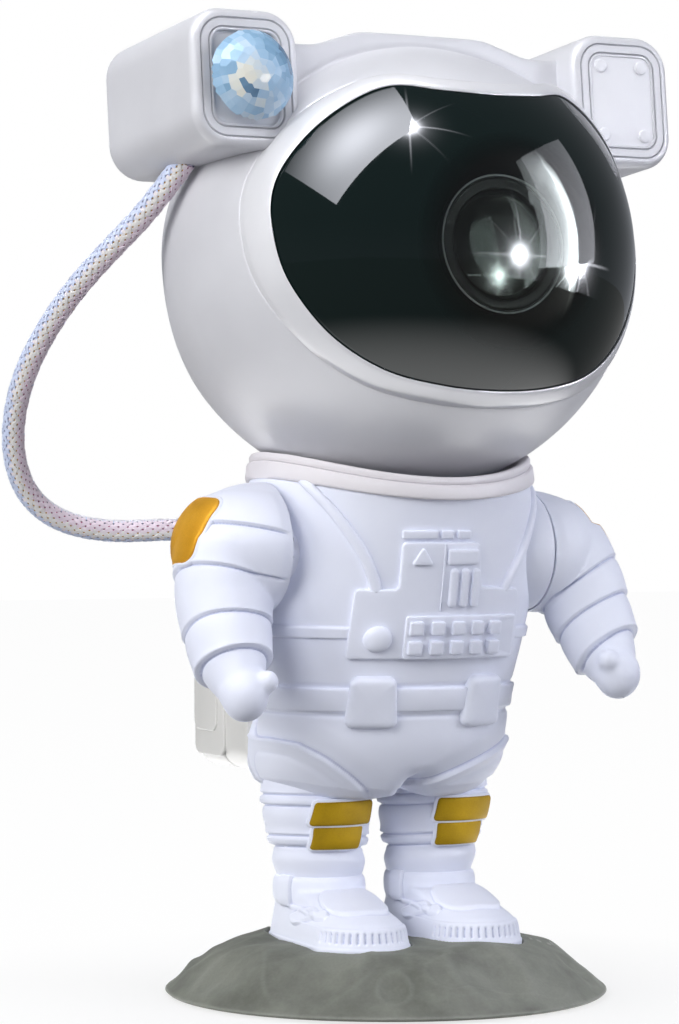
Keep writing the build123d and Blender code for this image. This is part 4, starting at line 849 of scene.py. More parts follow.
@dataclass(frozen=True)
class Metal(Finish):
    """Plated, turned or cast metal: brushed streaks, slightly stained."""

    colour: str
    roughness: float
    streak: float = 0.15  # distance between the brush marks, in mm

    def paint(self, bench: Bench, shader: Node) -> Node:
        """Brush marks stretched along X, and a stain that shifts the gloss over 6 mm."""
        place = bench.place()
        marks = bench.cloud(
            self.streak, 3.0, place=bench.add("Mapping", {"Scale": (0.06, 1, 1)}, {"Vector": place}))
        rough = bench.span(bench.cloud(6, place=place), 0, 1, self.roughness - 0.08, self.roughness + 0.12)
        colour = bench.add(
            "VectorMath", {"operation": "SCALE", 0: srgb(self.colour)[:3]},
            {"Scale": bench.span(marks, 0, 1, 0.85, 1.1)})
        return bench.wire(
            shader, {"Metallic": 1.0},
            {"Base Color": colour, "Roughness": rough, "Normal": bench.bump(marks, 0.25, 0.01)})


@dataclass(frozen=True)
class CircuitLaminate(Finish):
    """Glass-epoxy circuit board: solder mask over copper tracks."""

    mask: str
    track: str

    def paint(self, bench: Bench, shader: Node) -> Node:
        """Tracks on a 2.5 mm raster show through the lacquer as a lighter tone."""
        bricks = bench.add(
            "TexBrick",
            {"Scale": grain_scale(2.5), "Color1": srgb(self.mask), "Color2": srgb(self.mask),
             "Mortar": srgb(self.track), "Mortar Size": 0.06},
            {"Vector": bench.place()})
        return bench.wire(shader, {"Roughness": 0.3}, {"Base Color": bricks})


# Soft PVC of the suit: cool white, with painted violet-blue shade in its creases.
SUIT = MouldedPlastic("suit_moulded_pvc", "#eaedf9", "#9aa0c4", roughness=0.62, specular=0.3)
# Painted ABS of the helmet: neutral, a little glossier than the suit.
SHELL = MouldedPlastic("helmet_moulded_abs", "#d6d6da", "#8d8d95", roughness=0.4, coat=0.1)
BEZEL = MouldedPlastic("visor_bezel_abs", "#e2e2e5", "#77777d", roughness=0.28, coat=0.25)
PLATE = MouldedPlastic("ear_plate_abs", "#eeeef2", "#8d8d95", roughness=0.5, specular=0.3)
COLLAR = MouldedPlastic("collar_cream_abs", "#e6e2e5", "#98929a", roughness=0.52, specular=0.3)
PACK = MouldedPlastic("backpack_abs", "#d9d8d4", "#7b7a76", roughness=0.45)
BUTTONS = MouldedPlastic("button_cap_abs", "#e8e8ea", "#8d8d95", roughness=0.3)
BLACK = MouldedPlastic("black_moulded_abs", "#17181a", "#0b0b0c", roughness=0.45)
LENS_BLACK = MouldedPlastic("lens_ring_black_abs", "#0c0d0e", "#08080a", roughness=0.4, specular=0.2)
# Matt black ring round the lens: painted shade behind the visor.
LENS_SHADE_MASK = MouldedPlastic("lens_shade_mask_matt", "#101214", "#0a0b0c", roughness=0.9, specular=0.05)
GLAND = MouldedPlastic("gland_soft_pvc", "#cfc9da", "#8a84a0", roughness=0.5)
ACETAL = MouldedPlastic("acetal_gear", "#e9e6dc", "#a9a69c", roughness=0.35, grain=0.2)
RUBBER = MouldedPlastic(
    "grip_pad_rubber", "#232426", "#121213", roughness=0.85, grain=0.8, relief=0.06, specular=0.3)
ROCK = CastRock("moon_rock_painted_resin", "#53554d", "#73756c", "#8f9189")
SHOULDER_GOLD = GoldPaint("shoulder_patch_lacquer", "#c8942c", "#b07d16")
KNEE_GOLD = GoldPaint("knee_patch_lacquer", "#9c7d08", "#856a06")
VISOR = SmokedAcrylic("visor_smoked_acrylic", "#0d1a19", 24.5, -5.6, "#dbdfdc")
# Tones of the dome's facets, pale to dark: painted reflections and painted shade.
DOME_BLUE = FacetedDome(
    "star_dome_blue_polycarbonate", ("#f6f4e6", "#d3e6f6", "#a9cdea", "#86aece", "#5f7d9b", "#33475c"))
RIPPLE = ClearMoulding("ripple_polycarbonate", "#e8f0f2", roughness=0.05)
LENS = ClearMoulding("nebula_lens_polycarbonate", "#eef4f2", specular=0.2)
BRAID = BraidedSleeve("braided_nylon", (
    "#efedf4", "#d0d9f1", "#efdfea", "#eeebe8", "#c9973a", "#c9973a", "#8f93b4", "#a8487c", "#2c2b62",
    "#2c2b62"))
NICKEL = Metal("nickel_plated_magnet", "#c9c8c2", 0.22)
ZINC = Metal("zinc_plated_steel", "#b9bcc0", 0.34)
IRON = Metal("cast_iron_weight", "#6c6a68", 0.6, streak=0.6)
ALUMINIUM = Metal("extruded_aluminium", "#c9ccd0", 0.32)
TIN = Metal("tinned_socket_steel", "#c4c4c6", 0.3)
GREEN_BOARD = CircuitLaminate("circuit_board_green", "#1d5a38", "#3c8a5c")
WHITE_BOARD = CircuitLaminate("led_board_white", "#e6e7e2", "#c9c9bd")

NODE_FINISHES: dict[str, Finish] = {
    "moon_base": ROCK, "grip_pad": RUBBER, "bottom_cover": BLACK, "base_weight": IRON, "base_screws": ZINC,
    "left_boot": SUIT, "right_boot": SUIT, "left_leg": SUIT, "right_leg": SUIT,
    "left_knee_patch": KNEE_GOLD, "right_knee_patch": KNEE_GOLD, "torso_front": SUIT, "torso_rear": SUIT,
    "belt": SUIT, "belt_pouches": SUIT, "chest_panel": SUIT, "chest_instruments": SUIT,
    "left_arm": SUIT, "right_arm": SUIT, "left_arm_clip": ACETAL, "right_arm_clip": ACETAL,
    "left_shoulder_patch": SHOULDER_GOLD, "right_shoulder_patch": SHOULDER_GOLD,
    "neck_collar": COLLAR, "neck_cup": COLLAR, "neck_magnet": NICKEL, "steel_keeper": ZINC,
    "helmet_front": SHELL, "helmet_rear": SHELL, "helmet_screws": ZINC, "visor_bezel": BEZEL, "visor": VISOR,
    "left_ear_box": SHELL, "right_ear_box": SHELL, "left_ear_plate": PLATE, "star_dome": DOME_BLUE,
    "star_board": WHITE_BOARD, "led_board": WHITE_BOARD, "head_board": GREEN_BOARD,
    "control_board": GREEN_BOARD, "nebula_lens": LENS, "lens_ring": LENS_BLACK, "lens_barrel": BLACK,
    "ripple_wheel": ACETAL, "drive_pinion": ACETAL, "ripple_disc": RIPPLE, "ripple_motor": ZINC,
    "heat_sink": ALUMINIUM, "optics_bracket": BLACK, "backpack_shell": PACK, "backpack_cover": PACK,
    "pack_screws": ZINC, "power_socket": TIN, "power_button": BUTTONS, "mode_button": BUTTONS,
    "dimmer_button": BUTTONS, "ear_cable_gland": GLAND, "pack_cable_gland": GLAND,
    "cable_upper": BRAID, "cable_lower": BRAID,
}


def dress_packed_nodes(nodes: dict[str, Piece]) -> None:
    """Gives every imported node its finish, also those that a modelled piece hides."""
    for name, node in nodes.items():
        material = NODE_FINISHES[name].material()
        for place in node.material_slots:
            place.material = material
        if not node.material_slots:
            node.data.materials.append(material)


# ---------------------------------------------------------------- camera and studio
@dataclass
class Studio:
    """Camera, pale floor, soft lamps and the cards that polished surfaces mirror."""

    aim: Triple = (-10.03, 4.68, 113.43)  # mm
    turn: float = -25.0  # degrees to the figure's right of its front
    climb: float = 0.29
    distance: float = 850.0
    lens: float = 126.74
    sensor: float = 36.0
    chest: Triple = (0.0, 0.0, 0.12)  # what the lamps look at, in m
    visor: Triple = (0.00027, -0.00898, 0.1724)  # middle of its sphere, in m

    def camera(self) -> Piece:
        """Sets up the camera.

        Returns:
            The scene's camera.
        """
        clear_selection()
        bpy.ops.object.camera_add()
        camera = bpy.context.object
        camera.name = "camera"
        turn, climb = math.radians(self.turn), math.radians(self.climb)
        out = Vector((math.sin(turn) * math.cos(climb), -math.cos(turn) * math.cos(climb), math.sin(climb)))
        camera.location = (Vector(self.aim) + out * self.distance) * MM
        camera.rotation_euler = (-out).to_track_quat("-Z", "Y").to_euler()
        camera.data.lens = self.lens
        camera.data.sensor_width = self.sensor
        camera.data.clip_end = 20.0
        bpy.context.scene.camera = camera
        return camera

    def world(self) -> None:
        """Lights the room evenly. It looks white, and darker above than below where it is mirrored."""
        bench = Bench(bpy.data.worlds.new("studio_room"))
        path = bench.add("LightPath").outputs
        seen = bench.combine("MAXIMUM", path["Is Camera Ray"], path["Is Transmission Ray"])
        facing = bench.add("SeparateXYZ", links={0: bench.place("Generated")})
        dim = bench.span(facing.outputs["Z"], -0.3, 0.25, 0.6, 0.35)
        level = bench.add("Mix", {2: 0.34}, {0: path["Is Glossy Ray"], 3: dim})
        room = bench.add("Background", {"Color": srgb("#e9edf6")}, {"Strength": level})
        white = bench.add("Background", {"Color": WHITE, "Strength": 1.0})
        bench.add("OutputWorld", links={"Surface": bench.mix(seen, room, white)})
        bpy.context.scene.world = bench.owner

    def floor(self) -> None:
        """Lays a pale floor that fades into the white room and keeps the shadow."""
        clear_selection()
        bpy.ops.mesh.primitive_plane_add(size=6.0, location=(0, 0, 0))
        floor = bpy.context.object
        floor.name = "studio_floor"
        bench = Bench(bpy.data.materials.new("studio_floor_paint"))
        path = bench.add("LightPath").outputs
        seen = bench.combine("MAXIMUM", path["Is Camera Ray"], path["Is Glossy Ray"])
        away = bench.add("VectorMath", {"operation": "LENGTH"}, {0: bench.place()}).outputs["Value"]
        fade = bench.span(away, 0.05, 0.13, 0.74, 0.97)
        far = bench.span(away, 0.09, 0.34, 6.0, 0.3)
        far.interpolation_type = "SMOOTHSTEP"
        level = bench.add("Mix", {2: 1.0}, {0: path["Is Glossy Ray"], 3: far})
        tone = bench.add(
            "MixRGB", {"Color1": srgb("#68686c"), "Color2": srgb("#f6f6f6")}, {"Fac": path["Is Camera Ray"]})
        matt = bench.add("BsdfDiffuse", links={"Color": tone})
        white = bench.add("Emission", {"Color": WHITE}, {"Strength": level})
        bench.add(
            "OutputMaterial",
            links={"Surface": bench.mix(bench.combine("MULTIPLY", seen, fade), matt, white)})
        floor.data.materials.append(bench.owner)

    def lamp(self, name: str, place: Sequence[float], size: float, watts: float, colour: str) -> None:
        """Hangs one soft square lamp that looks at the figure's chest.

        Args:
            name: the lamp's name.
            place: where it hangs, in metres.
            size: its width in metres.
            watts: its power.
            colour: its hex colour.
        """
        clear_selection()
        bpy.ops.object.light_add(type="AREA", location=place)
        lamp = bpy.context.object
        lamp.name = name
        lamp.data.size = size
        lamp.data.energy = watts
        lamp.data.color = srgb(colour)[:3]
        lamp.rotation_euler = (Vector(self.chest) - Vector(place)).to_track_quat("-Z", "Y").to_euler()
        lamp.visible_glossy = False

    def spark(self, name: str, direction: Sequence[float], size: float, peak: float) -> None:
        """Hangs a small star-shaped glow where the visor mirrors it.

        Args:
            name: its name.
            direction: direction from the visor's middle.
            size: half its width, as a share of its distance.
            peak: its brightness in the middle.
        """
        across, up, out = upright(direction)
        corners = [out + size * (a * across + b * up) for a, b in ((-1, -1), (1, -1), (1, 1), (-1, 1))]
        self.card(name, corners, 0.97, (0.0,) * 4, peak)

    def card(
        self, name: str, directions: Sequence[Sequence[float]], reach: float, stops: tuple[float, ...],
        peak: float = 0.0, core: float = 0.0,
    ) -> None:
        """Stands a glowing card where the visor mirrors it, seen by mirrors alone.

        Args:
            name: the card's name.
            directions: its four corners, as directions from the visor's middle.
            reach: their distance from there, in metres.
            stops: how bright each corner is.
            peak: brightness of a star in its middle; the card is clear where it has none.
            core: how much brighter its middle is than its corners make it.
        """
        clear_selection()
        cuts = 96 if peak else 24
        bpy.ops.mesh.primitive_grid_add(x_subdivisions=cuts, y_subdivisions=cuts, size=2)
        card = bpy.context.object
        card.name = name
        middle = np.array(self.visor)
        corners = [middle + reach * np.array(corner) for corner in directions]
        flat = coordinates(card) * MM
        u, v = (flat[:, 0] + 1) / 2, (flat[:, 1] + 1) / 2
        weights = ((1 - u) * (1 - v), u * (1 - v), u * v, (1 - u) * v)
        place_vertices(card, sum(w[:, None] * corner for w, corner in zip(weights, corners)) / MM)
        glow = card.data.attributes.new("glow", "FLOAT", "POINT")
        shine = sum(w * stop for w, stop in zip(weights, stops))
        shine = shine + core * np.exp(-((u - 0.55) ** 2 + (v - 0.5) ** 2) / 0.10)
        if peak:
            a, b = flat[:, 0], flat[:, 1]
            out = np.hypot(a, b)
            diagonal = np.abs(a * a - b * b)
            rays = 0.25 * np.exp(-np.abs(a * b) * 600) + 0.12 * np.exp(-diagonal * 450)
            halo = 0.26 * np.exp(-out / 0.16)
            shine = peak * (np.exp(-((out / 0.11) ** 2)) + (halo + rays) * np.clip(1 - out, 0, 1) ** 2)
        glow.data.foreach_set("value", shine.astype(np.float32))
        bench = Bench(bpy.data.materials.new(name + "_light"))
        light = bench.add("Emission", {"Color": srgb("#f4f6ff")}, {"Strength": bench.attribute("glow")})
        if peak:
            light = bench.add("AddShader", links={0: light, 1: bench.add("BsdfTransparent")})
        bench.add("OutputMaterial", links={"Surface": light})
        card.data.materials.append(bench.owner)
        card.visible_camera = card.visible_diffuse = card.visible_shadow = False
        card.visible_transmission = card.visible_volume_scatter = False

    def build(self) -> None:
        """Sets the view transform, the room, the floor, the lamps and the cards."""
        bpy.context.scene.view_settings.view_transform = "Standard"
        self.world()
        self.floor()
        self.lamp("key_lamp", (-1.3, -0.85, 0.85), 0.8, 13.6, "#ffffff")
        self.lamp("side_lamp", (1.0, -0.8, 0.55), 0.7, 6.5, "#f2f4ff")
        self.lamp("front_lamp", (-0.3, -1.5, 0.45), 0.5, 1.5, "#ffffff")
        self.lamp("left_lamp", (-1.4, 0.0, 0.4), 0.6, 7.0, "#ffffff")
        self.lamp("top_lamp", (0.0, 0.1, 1.4), 0.9, 5.6, "#ffffff")
        self.card(
            "upper_card", ((-0.823, 0.094, 0.56), (-0.805, -0.462, 0.372), (-0.123, -0.459, 0.88),
                           (-0.069, -0.004, 0.998)), 1.0, (3.0, 20.0, 32.0, 7.0), core=28.0)
        self.card(
            "side_card", ((0.566, -0.529, 0.633), (0.72, -0.69, -0.071), (0.983, -0.185, 0.0),
                          (0.80, -0.06, 0.60)), 1.0, (3.0, 10.5, 7.5, 3.0))
        self.spark("crown_spark", (-0.1726, -0.4305, 0.8859), 0.5, 170.0)
        self.spark("temple_spark", (0.9347, -0.3552, -0.0147), 0.5, 150.0)
        self.spark("lens_spark", (0.5205, -0.8538, -0.0019), 0.6, 95.0)


# ---------------------------------------------------------------- umbilical cable
@dataclass
class Cable:
    """Braided sleeve in two lengths, one on the helmet and one on the figure, joined behind."""

    diameter: float = 5.6
    upper: tuple[Triple, ...] = (
        (-55.9, -5.3, 190.6), (-60.0, 0.9, 182.6), (-65.9, 9.3, 174.2), (-71.2, 18.6, 165.5),
        (-75.3, 27.2, 155.9), (-77.8, 35.2, 145.9), (-78.0, 38.5, 140.6),
    )
    lower: tuple[Triple, ...] = (
        (-78.0, 38.5, 140.6), (-78.2, 41.8, 135.3), (-76.2, 46.6, 125.2), (-71.2, 49.8, 116.6),
        (-63.0, 50.4, 110.9), (-51.7, 48.2, 108.5), (-39.8, 43.4, 109.0), (-28.4, 40.0, 109.4),
    )
    carriers: int = 10  # bundles of threads each way round
    pitch: float = 24.0  # length of one turn of a bundle, in mm
    lining: tuple[Pair, ...] = (
        (30.0, 0.95), (68.0, 0.75), (108.0, 0.45), (150.0, 0.65), (200.0, 0.85), (255.0, 0.75), (310.0, 0.45))

    def line(self, route: Sequence[Sequence[float]]) -> Array:
        """Points that the cable follows, read from a smooth curve with the route as its controls.

        Args:
            route: control points in millimetres.

        Returns:
            Places in millimetres, close together.
        """
        data = bpy.data.curves.new("cable_route", "CURVE")
        data.dimensions = "3D"
        spline = data.splines.new("NURBS")
        spline.points.add(len(route) - 1)
        for point, place in zip(spline.points, route):
            point.co = (*(value * MM for value in place), 1)
        spline.order_u = 3
        spline.use_endpoint_u = True
        data.resolution_u = 24
        holder = bpy.data.objects.new("cable_route", data)
        bpy.context.scene.collection.objects.link(holder)
        bpy.context.view_layer.update()
        mesh = bpy.data.meshes.new_from_object(holder)
        places = np.array([vertex.co for vertex in mesh.vertices]) / MM
        bpy.data.objects.remove(holder)
        bpy.data.meshes.remove(mesh)
        return places

    def frames(self, line: Array, step: float) -> tuple[Array, Array, Array, Array]:
        """Even places along a line, each with two directions square to it that do not twist.

        Args:
            line: places of any spacing.
            step: distance between the places returned.

        Returns:
            The places, the two directions and the length passed.
        """
        run = np.concatenate([[0], np.cumsum(np.linalg.norm(np.diff(line, axis=0), axis=1))])
        count = max(int(round(run[-1] / step)), 8)
        passed = np.linspace(0, run[-1], count + 1)
        at = np.stack([np.interp(passed, run, line[:, k]) for k in range(3)], axis=1)
        along = np.gradient(at, axis=0)
        along /= np.linalg.norm(along, axis=1)[:, None]
        across = np.empty_like(at)
        first = np.cross(along[0], (0, 1, 0))
        across[0] = first / np.linalg.norm(first)
        for k in range(1, len(at)):
            moved = across[k - 1] - along[k] * np.dot(across[k - 1], along[k])
            across[k] = moved / np.linalg.norm(moved)
        return at, across, np.cross(along, across), passed

    def dye(self, lie: float) -> float:
        """Dye of a thread by where it lies round the cable, in degrees: blue, cream, pink or white."""
        return 0.15 if 130 < lie < 240 else 0.35 if 88 < lie <= 130 else 0.25 if 15 < lie <= 88 else 0.05

    def weave(
        self, name: str, route: Sequence[Sequence[float]], start: float, lead: float = 0.0,
    ) -> tuple[Piece, Array]:
        """Models one length: a core and the threads that go over and under each other round it.

        Args:
            name: the piece's name.
            route: control points.
            start: length of cable before this piece, so that the pattern runs on.
            lead: how far the sleeve runs on straight before the route's first point.

        Returns:
            The piece and the line that it follows.
        """
        line = self.line(route)
        if lead:
            back = line[0] - line[1]
            line = np.vstack([line[0] + lead * back / np.linalg.norm(back), line])
        at, across, up, passed = self.frames(line, 0.55)
        radius = self.diameter / 2
        turns = np.radians(np.arange(0, 360, 15))
        rings = [p + (radius - 0.42) * (np.cos(turns)[:, None] * a + np.sin(turns)[:, None] * b)
                 for p, a, b in zip(at, across, up)]
        rings = [np.repeat(at[:1], 24, axis=0), *rings, np.repeat(at[-1:], 24, axis=0)]
        core = loft(name + "_core", rings)
        nearest = np.abs(coordinates(core)[:, None, :] - at[None]).sum(axis=2).argmin(axis=1)
        spoke = coordinates(core) - at[nearest]
        lie = np.degrees(
            np.arctan2((spoke * up[nearest]).sum(axis=1), (spoke * across[nearest]).sum(axis=1))) % 360
        dyes = [np.full(len(core.data.vertices), 0.45)]
        for row, dye in self.lining:
            dyes[0] = np.where(np.abs((lie - row + 180) % 360 - 180) < 26, dye, dyes[0])
        section = (
            (-0.58, -0.14), (-0.43, 0.06), (-0.28, -0.02), (-0.14, 0.08), (0.0, 0.0), (0.14, 0.08),
            (0.28, -0.02),
            (0.43, 0.06), (0.58, -0.14))
        wide = len(section)
        spots, faces, tints = [], [], []
        for hand in (1, -1):
            for carrier in range(self.carriers):
                turn = 2 * math.pi * (hand * (passed + start) / self.pitch + carrier / self.carriers)
                crossing = turn * self.carriers * hand + (0 if hand > 0 else math.pi)
                lift = 0.10 * np.sin(crossing - math.pi * carrier)
                base = len(spots) * wide
                for k in range(len(at)):
                    out = math.cos(turn[k]) * across[k] + math.sin(turn[k]) * up[k]
                    side = -math.sin(turn[k]) * across[k] + math.cos(turn[k]) * up[k]
                    spots.append([at[k] + out * (radius - 0.22 + lift[k] + rise) + side * off
                                  for off, rise in section])
                    tints.extend([self.dye(math.degrees(turn[k]) % 360)] * wide)
                for k in range(len(at) - 1):
                    low, high = base + wide * k, base + wide * (k + 1)
                    for c in range(wide):
                        d = (c + 1) % wide
                        faces.append((low + c, low + d, high + d, high + c))
        mesh = bpy.data.meshes.new(name + "_threads")
        mesh.from_pydata((np.array(spots).reshape(-1, 3) * MM).tolist(), [], faces)
        strands = bpy.data.objects.new(name + "_threads", mesh)
        bpy.context.scene.collection.objects.link(strands)
        for piece, dye in ((core, dyes[0]), (strands, np.array(tints))):
            held = piece.data.attributes.new("yarn", "FLOAT", "POINT")
            held.data.foreach_set("value", dye.astype(np.float32))
        piece = join(name, [core, strands])
        merge(piece, gap=0.0005)
        shade(piece)
        return piece, line

    def build(self) -> None:
        """Makes both lengths and says what cord they are."""
        passed = 0.0
        for name, route, bodies in (
            ("cable_sleeve_upper", self.upper, ("head", "neck_swivel")),
            ("cable_sleeve_lower", self.lower, ("neck_swivel", "figure")),
        ):
            piece, _ = self.weave(name, route, passed - (0 if passed else 4.0), 0 if passed else 4.0)
            line = self.line(route)
            length = float(np.linalg.norm(np.diff(line, axis=0), axis=1).sum())
            piece.data.materials.clear()
            piece.data.materials.append(BRAID.material())
            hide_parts(name.replace("_sleeve", ""))
            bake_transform(piece)
            passed += length
            LOG.info("%s: %.1f mm, %d faces", name, length, len(piece.data.polygons))
        first, second = (np.array(self.upper[k]) for k in (0, 1))
        back = (first - second) / np.linalg.norm(first - second)
        side = np.cross(back, (0, 1, 0))
        side /= np.linalg.norm(side)
        turns = np.radians(np.arange(0, 360, 10))
        rings = [first + back * reach + radius * (
            np.cos(turns)[:, None] * side + np.sin(turns)[:, None] * np.cross(back, side))
            for radius, reach in ((0, 4.4), (2.0, 4.4), (2.2, 4.2), (2.2, 0.4), (0, 0.4))]
        stub = loft("ear_cable_core", rings)
        shade(stub, 40)
        hand_over(stub, Body.HEAD, "gland_plastic", GLAND, "ear_cable_gland")


# ---------------------------------------------------------------- helmet
@dataclass
class Helmet:
    """Dome in two shells with a raised band over the crown, its bezel, visor and lens."""

    low_radius: float = 56.3
    side_radius: float = 54.9
    top: float = 47.8
    crest_front: float = 17.0
    crest_back: float = 19.0
    crest_top: float = 48.5
    crest_half: float = 16.8
    bridge_top: float = 44.6
    bridge_start: float = 28.0
    around: int = 360
    bezel_proud: float = 0.5

    def reach(self, facing: Array) -> Array:
        """Distance from the helmet's centre to its skin.

        Args:
            facing: unit directions from the centre.

        Returns:
            The distance for each, with soft creases where the band meets the dome.
        """
        x, y, z = facing.T
        flat = np.hypot(x, y)
        below = self.side_radius + (self.low_radius - self.side_radius) * smooth_step(
            -np.degrees(np.arcsin(np.clip(z, -1, 1))), 0, 35)
        above = 1 / np.sqrt((flat / self.side_radius) ** 2 + (z / self.top) ** 2)
        dome = np.where(z > 0, above, below)
        far = 400.0

        def slab(push: Array, limit: float) -> Array:
            return np.where(push > 1e-3, limit / np.maximum(push, 1e-3), far)

        ends = np.minimum(slab(-y, self.crest_front), slab(y, self.crest_back))
        fall = np.array((self.crest_top - self.bridge_top, self.bridge_start - self.crest_half))
        fall /= np.linalg.norm(fall)
        lean = fall[0] * self.crest_half + fall[1] * self.crest_top
        slopes = np.minimum(slab(fall[0] * x + fall[1] * z, lean), slab(-fall[0] * x + fall[1] * z, lean))
        slopes = np.minimum(slopes, slab(np.abs(x), self.bridge_start + 1.0))
        plateau = -smooth_max(-slab(z, self.crest_top), -slopes, 0.7)
        bridge = np.minimum(slab(z, self.bridge_top), slab(np.abs(x), 48.0))
        band = -smooth_max(-smooth_max(plateau, bridge, 0.6), -ends, 1.3)
        band = np.where(z > 0.45, band, 0.0)
        return smooth_max(dome, band, 0.9)

    def skin(self, facing: Array, sink: float = 0.0) -> Array:
        """Places on the skin, or under it, in directions from the centre."""
        unit = facing / np.linalg.norm(facing, axis=1)[:, None]
        return unit * (self.reach(unit) - sink)[:, None]

    def opening(self, grow: float) -> Array:
        """The visor's opening on the skin, grown by an amount."""
        outline = grown(closed_line(self.outline(), self.around), grow)
        low, high = np.full(len(outline), -60.0), np.full(len(outline), -5.0)
        for _ in range(40):
            middle = (low + high) / 2
            at = np.column_stack([outline[:, 0], middle, outline[:, 1]])
            length = np.linalg.norm(at, axis=1)
            outside = length > self.reach(at / length[:, None])
            low, high = np.where(outside, middle, low), np.where(outside, high, middle)
        return np.column_stack([outline[:, 0], (low + high) / 2, outline[:, 1]])

    def outline(self) -> list[Pair]:
        """Whole outline of the visor in x and z, clockwise from its top."""
        half = list(VISOR_OUTLINE)
        return half + [(-x, z) for x, z in reversed(half[1:-1])]

    def shell(self, name: str, front: bool) -> Piece:
        """Models one shell, whose edges roll in at the parting line and at the visor.

        Args:
            name: the piece's name.
            front: whether it is the front shell.

        Returns:
            The shell, about the helmet's centre.
        """
        start = self.opening(BEZEL_WIDTH + 0.12)
        turn = np.arctan2(start[:, 2], start[:, 0])
        span = np.arccos(-start[:, 1] / np.linalg.norm(start, axis=1))

        def ring(angle: Array | float, sink: float = 0.0) -> Array:
            spread = np.sin(angle)
            facing = np.column_stack(
                [spread * np.cos(turn), -np.cos(angle) * np.ones(len(turn)), spread * np.sin(turn)])
            return self.skin(facing, sink)

        edge = math.pi / 2
        if front:
            rings = [start + (0, 3.4, 0), start + (0, 0.35, 0)]
            for share in np.linspace(0, 1, 86):
                angle = span + (edge - 0.0001 - span) * share
                rings.append(ring(angle, 0.12 if share == 0 else 0.0))
            rings.append(ring(edge - 0.0001, 2.0))
        else:
            rings = [ring(edge + 0.0001, 2.0)]
            for share in np.linspace(0, 1, 84):
                rings.append(ring(edge + 0.0001 + (math.pi - edge - 0.0001) * share))
        return head_piece(name, rings, 45)

    def ball_depth(self, outline: Array, radius: float) -> Array:
        """y on the visor's sphere, of a radius, over an outline in x and z."""
        square = radius**2 - outline[:, 0] ** 2 - (outline[:, 1] - VISOR_CENTRE[2]) ** 2
        return VISOR_CENTRE[1] - np.sqrt(np.maximum(square, 1.0))

    def bezel(self) -> Piece:
        """Models the rim: a rounded bead a little proud of the visor, with a skirt down into the shell."""
        base = closed_line(self.outline(), self.around)
        skin = self.opening(3.2)[:, 1]
        rings = []
        for grow, depth in (
            (3.2, 3.0), (3.2, 0.5), (3.1, 0.18), (2.85, 0.0), (2.3, -0.14), (1.6, -0.2), (0.9, -0.14),
            (0.35, 0.04), (0.08, 0.3), (0.0, 0.7), (0.0, 2.6),
        ):
            at = grown(base, grow)
            y = self.ball_depth(at, VISOR_RADIUS + self.bezel_proud) + depth
            y = np.maximum(y, skin + 1.0) if depth == 3.0 else y
            rings.append(np.column_stack([at[:, 0], y, at[:, 1]]))
        rings.append(rings[0])
        return head_piece("visor_rim", rings, 50)

    def visor(self) -> Piece:
        """Models the shell of the visor with its wall."""
        base = grown(closed_line(self.outline(), self.around), -0.06)
        rings = []
        for radius, shares in (
                (VISOR_RADIUS, np.linspace(0, 1, 60) ** 0.8),
                (VISOR_RADIUS - 1.8, (1.0, 0.75, 0.5, 0.25, 0.0))):
            for share in shares:
                at = base * share + np.array((0.0, -3.0)) * (1 - share)
                rings.append(np.column_stack([at[:, 0], self.ball_depth(at, radius), at[:, 1]]))
        return head_piece("visor_shell", rings, 50)

    def lens_rim(self) -> Piece:
        """Turns the lens ring: a black flange with a fine polished lip."""
        return head_piece("lens_rim", turned((
            (12.6, -43.6), (12.6, -47.0), (12.75, -47.3), (13.2, -47.45), (14.2, -47.2), (14.75, -47.3),
            (14.95, -47.6), (15.2, -47.6), (15.4, -47.3), (15.5, -43.6), (12.6, -43.6),
        ), 3.75, z=LENS_Z), 40)

    def lens_painted_highlight_ring(self) -> Piece:
        """Turns a thin light ring at the edge of the lens ring: a painted highlight."""
        leans = [2 * math.pi * step / 12 for step in range(12)]
        rings = turned(
            [(15.55 + 0.22 * math.cos(lean), -47.5 + 0.22 * math.sin(lean)) for lean in leans], 3.0, z=LENS_Z)
        return head_piece("lens_painted_highlight_ring", [*rings, rings[0]])

    def mask(self) -> Piece:
        """Turns a matt black ring round the lens: a dark sheet that paints the shade seen behind the smoked
        visor.
        """
        profile = ((15.6, -45.2), (21.0, -44.2), (27.0, -43.4), (27.0, -42.8), (15.6, -44.0), (15.6, -45.2))
        return head_piece("lens_shade_mask", turned(profile, 5, z=LENS_Z), 40)

    def lens(self) -> Piece:
        """Grinds the crowned lens."""
        crown = [(r, -47.6 + 1.5 * (r / 12.5) ** 2) for r in np.linspace(1, 12.3, 14)]
        profile = [(0, -47.6), *crown, (12.5, -45.9), (12.5, -44.8), (12.3, -44.65), (6, -44.6), (0, -44.6)]
        return head_piece("nebula_window", turned(profile, 3.75, z=LENS_Z), 40)

    def build(self) -> None:
        """Models and dresses the helmet."""
        hand_over(self.shell("helmet_face_shell", True), Body.HEAD, "helmet_plastic", SHELL, "helmet_front")
        hand_over(self.shell("helmet_back_shell", False), Body.HEAD, "helmet_plastic", SHELL, "helmet_rear")
        hand_over(self.bezel(), Body.HEAD, "bezel_plastic", BEZEL, "visor_bezel")
        hand_over(self.visor(), Body.HEAD, "visor_acrylic", VISOR, "visor")
        hand_over(self.lens_rim(), Body.HEAD, "lens_ring_black", LENS_BLACK, "lens_ring")
        # Light ring in bezel plastic: a painted highlight on the lens ring's edge.
        hand_over(self.lens_painted_highlight_ring(), Body.HEAD, "bezel_plastic", BEZEL)
        hand_over(self.mask(), Body.HEAD, "lens_ring_black", LENS_SHADE_MASK)
        hand_over(self.lens(), Body.HEAD, "clear_lens", LENS, "nebula_lens")


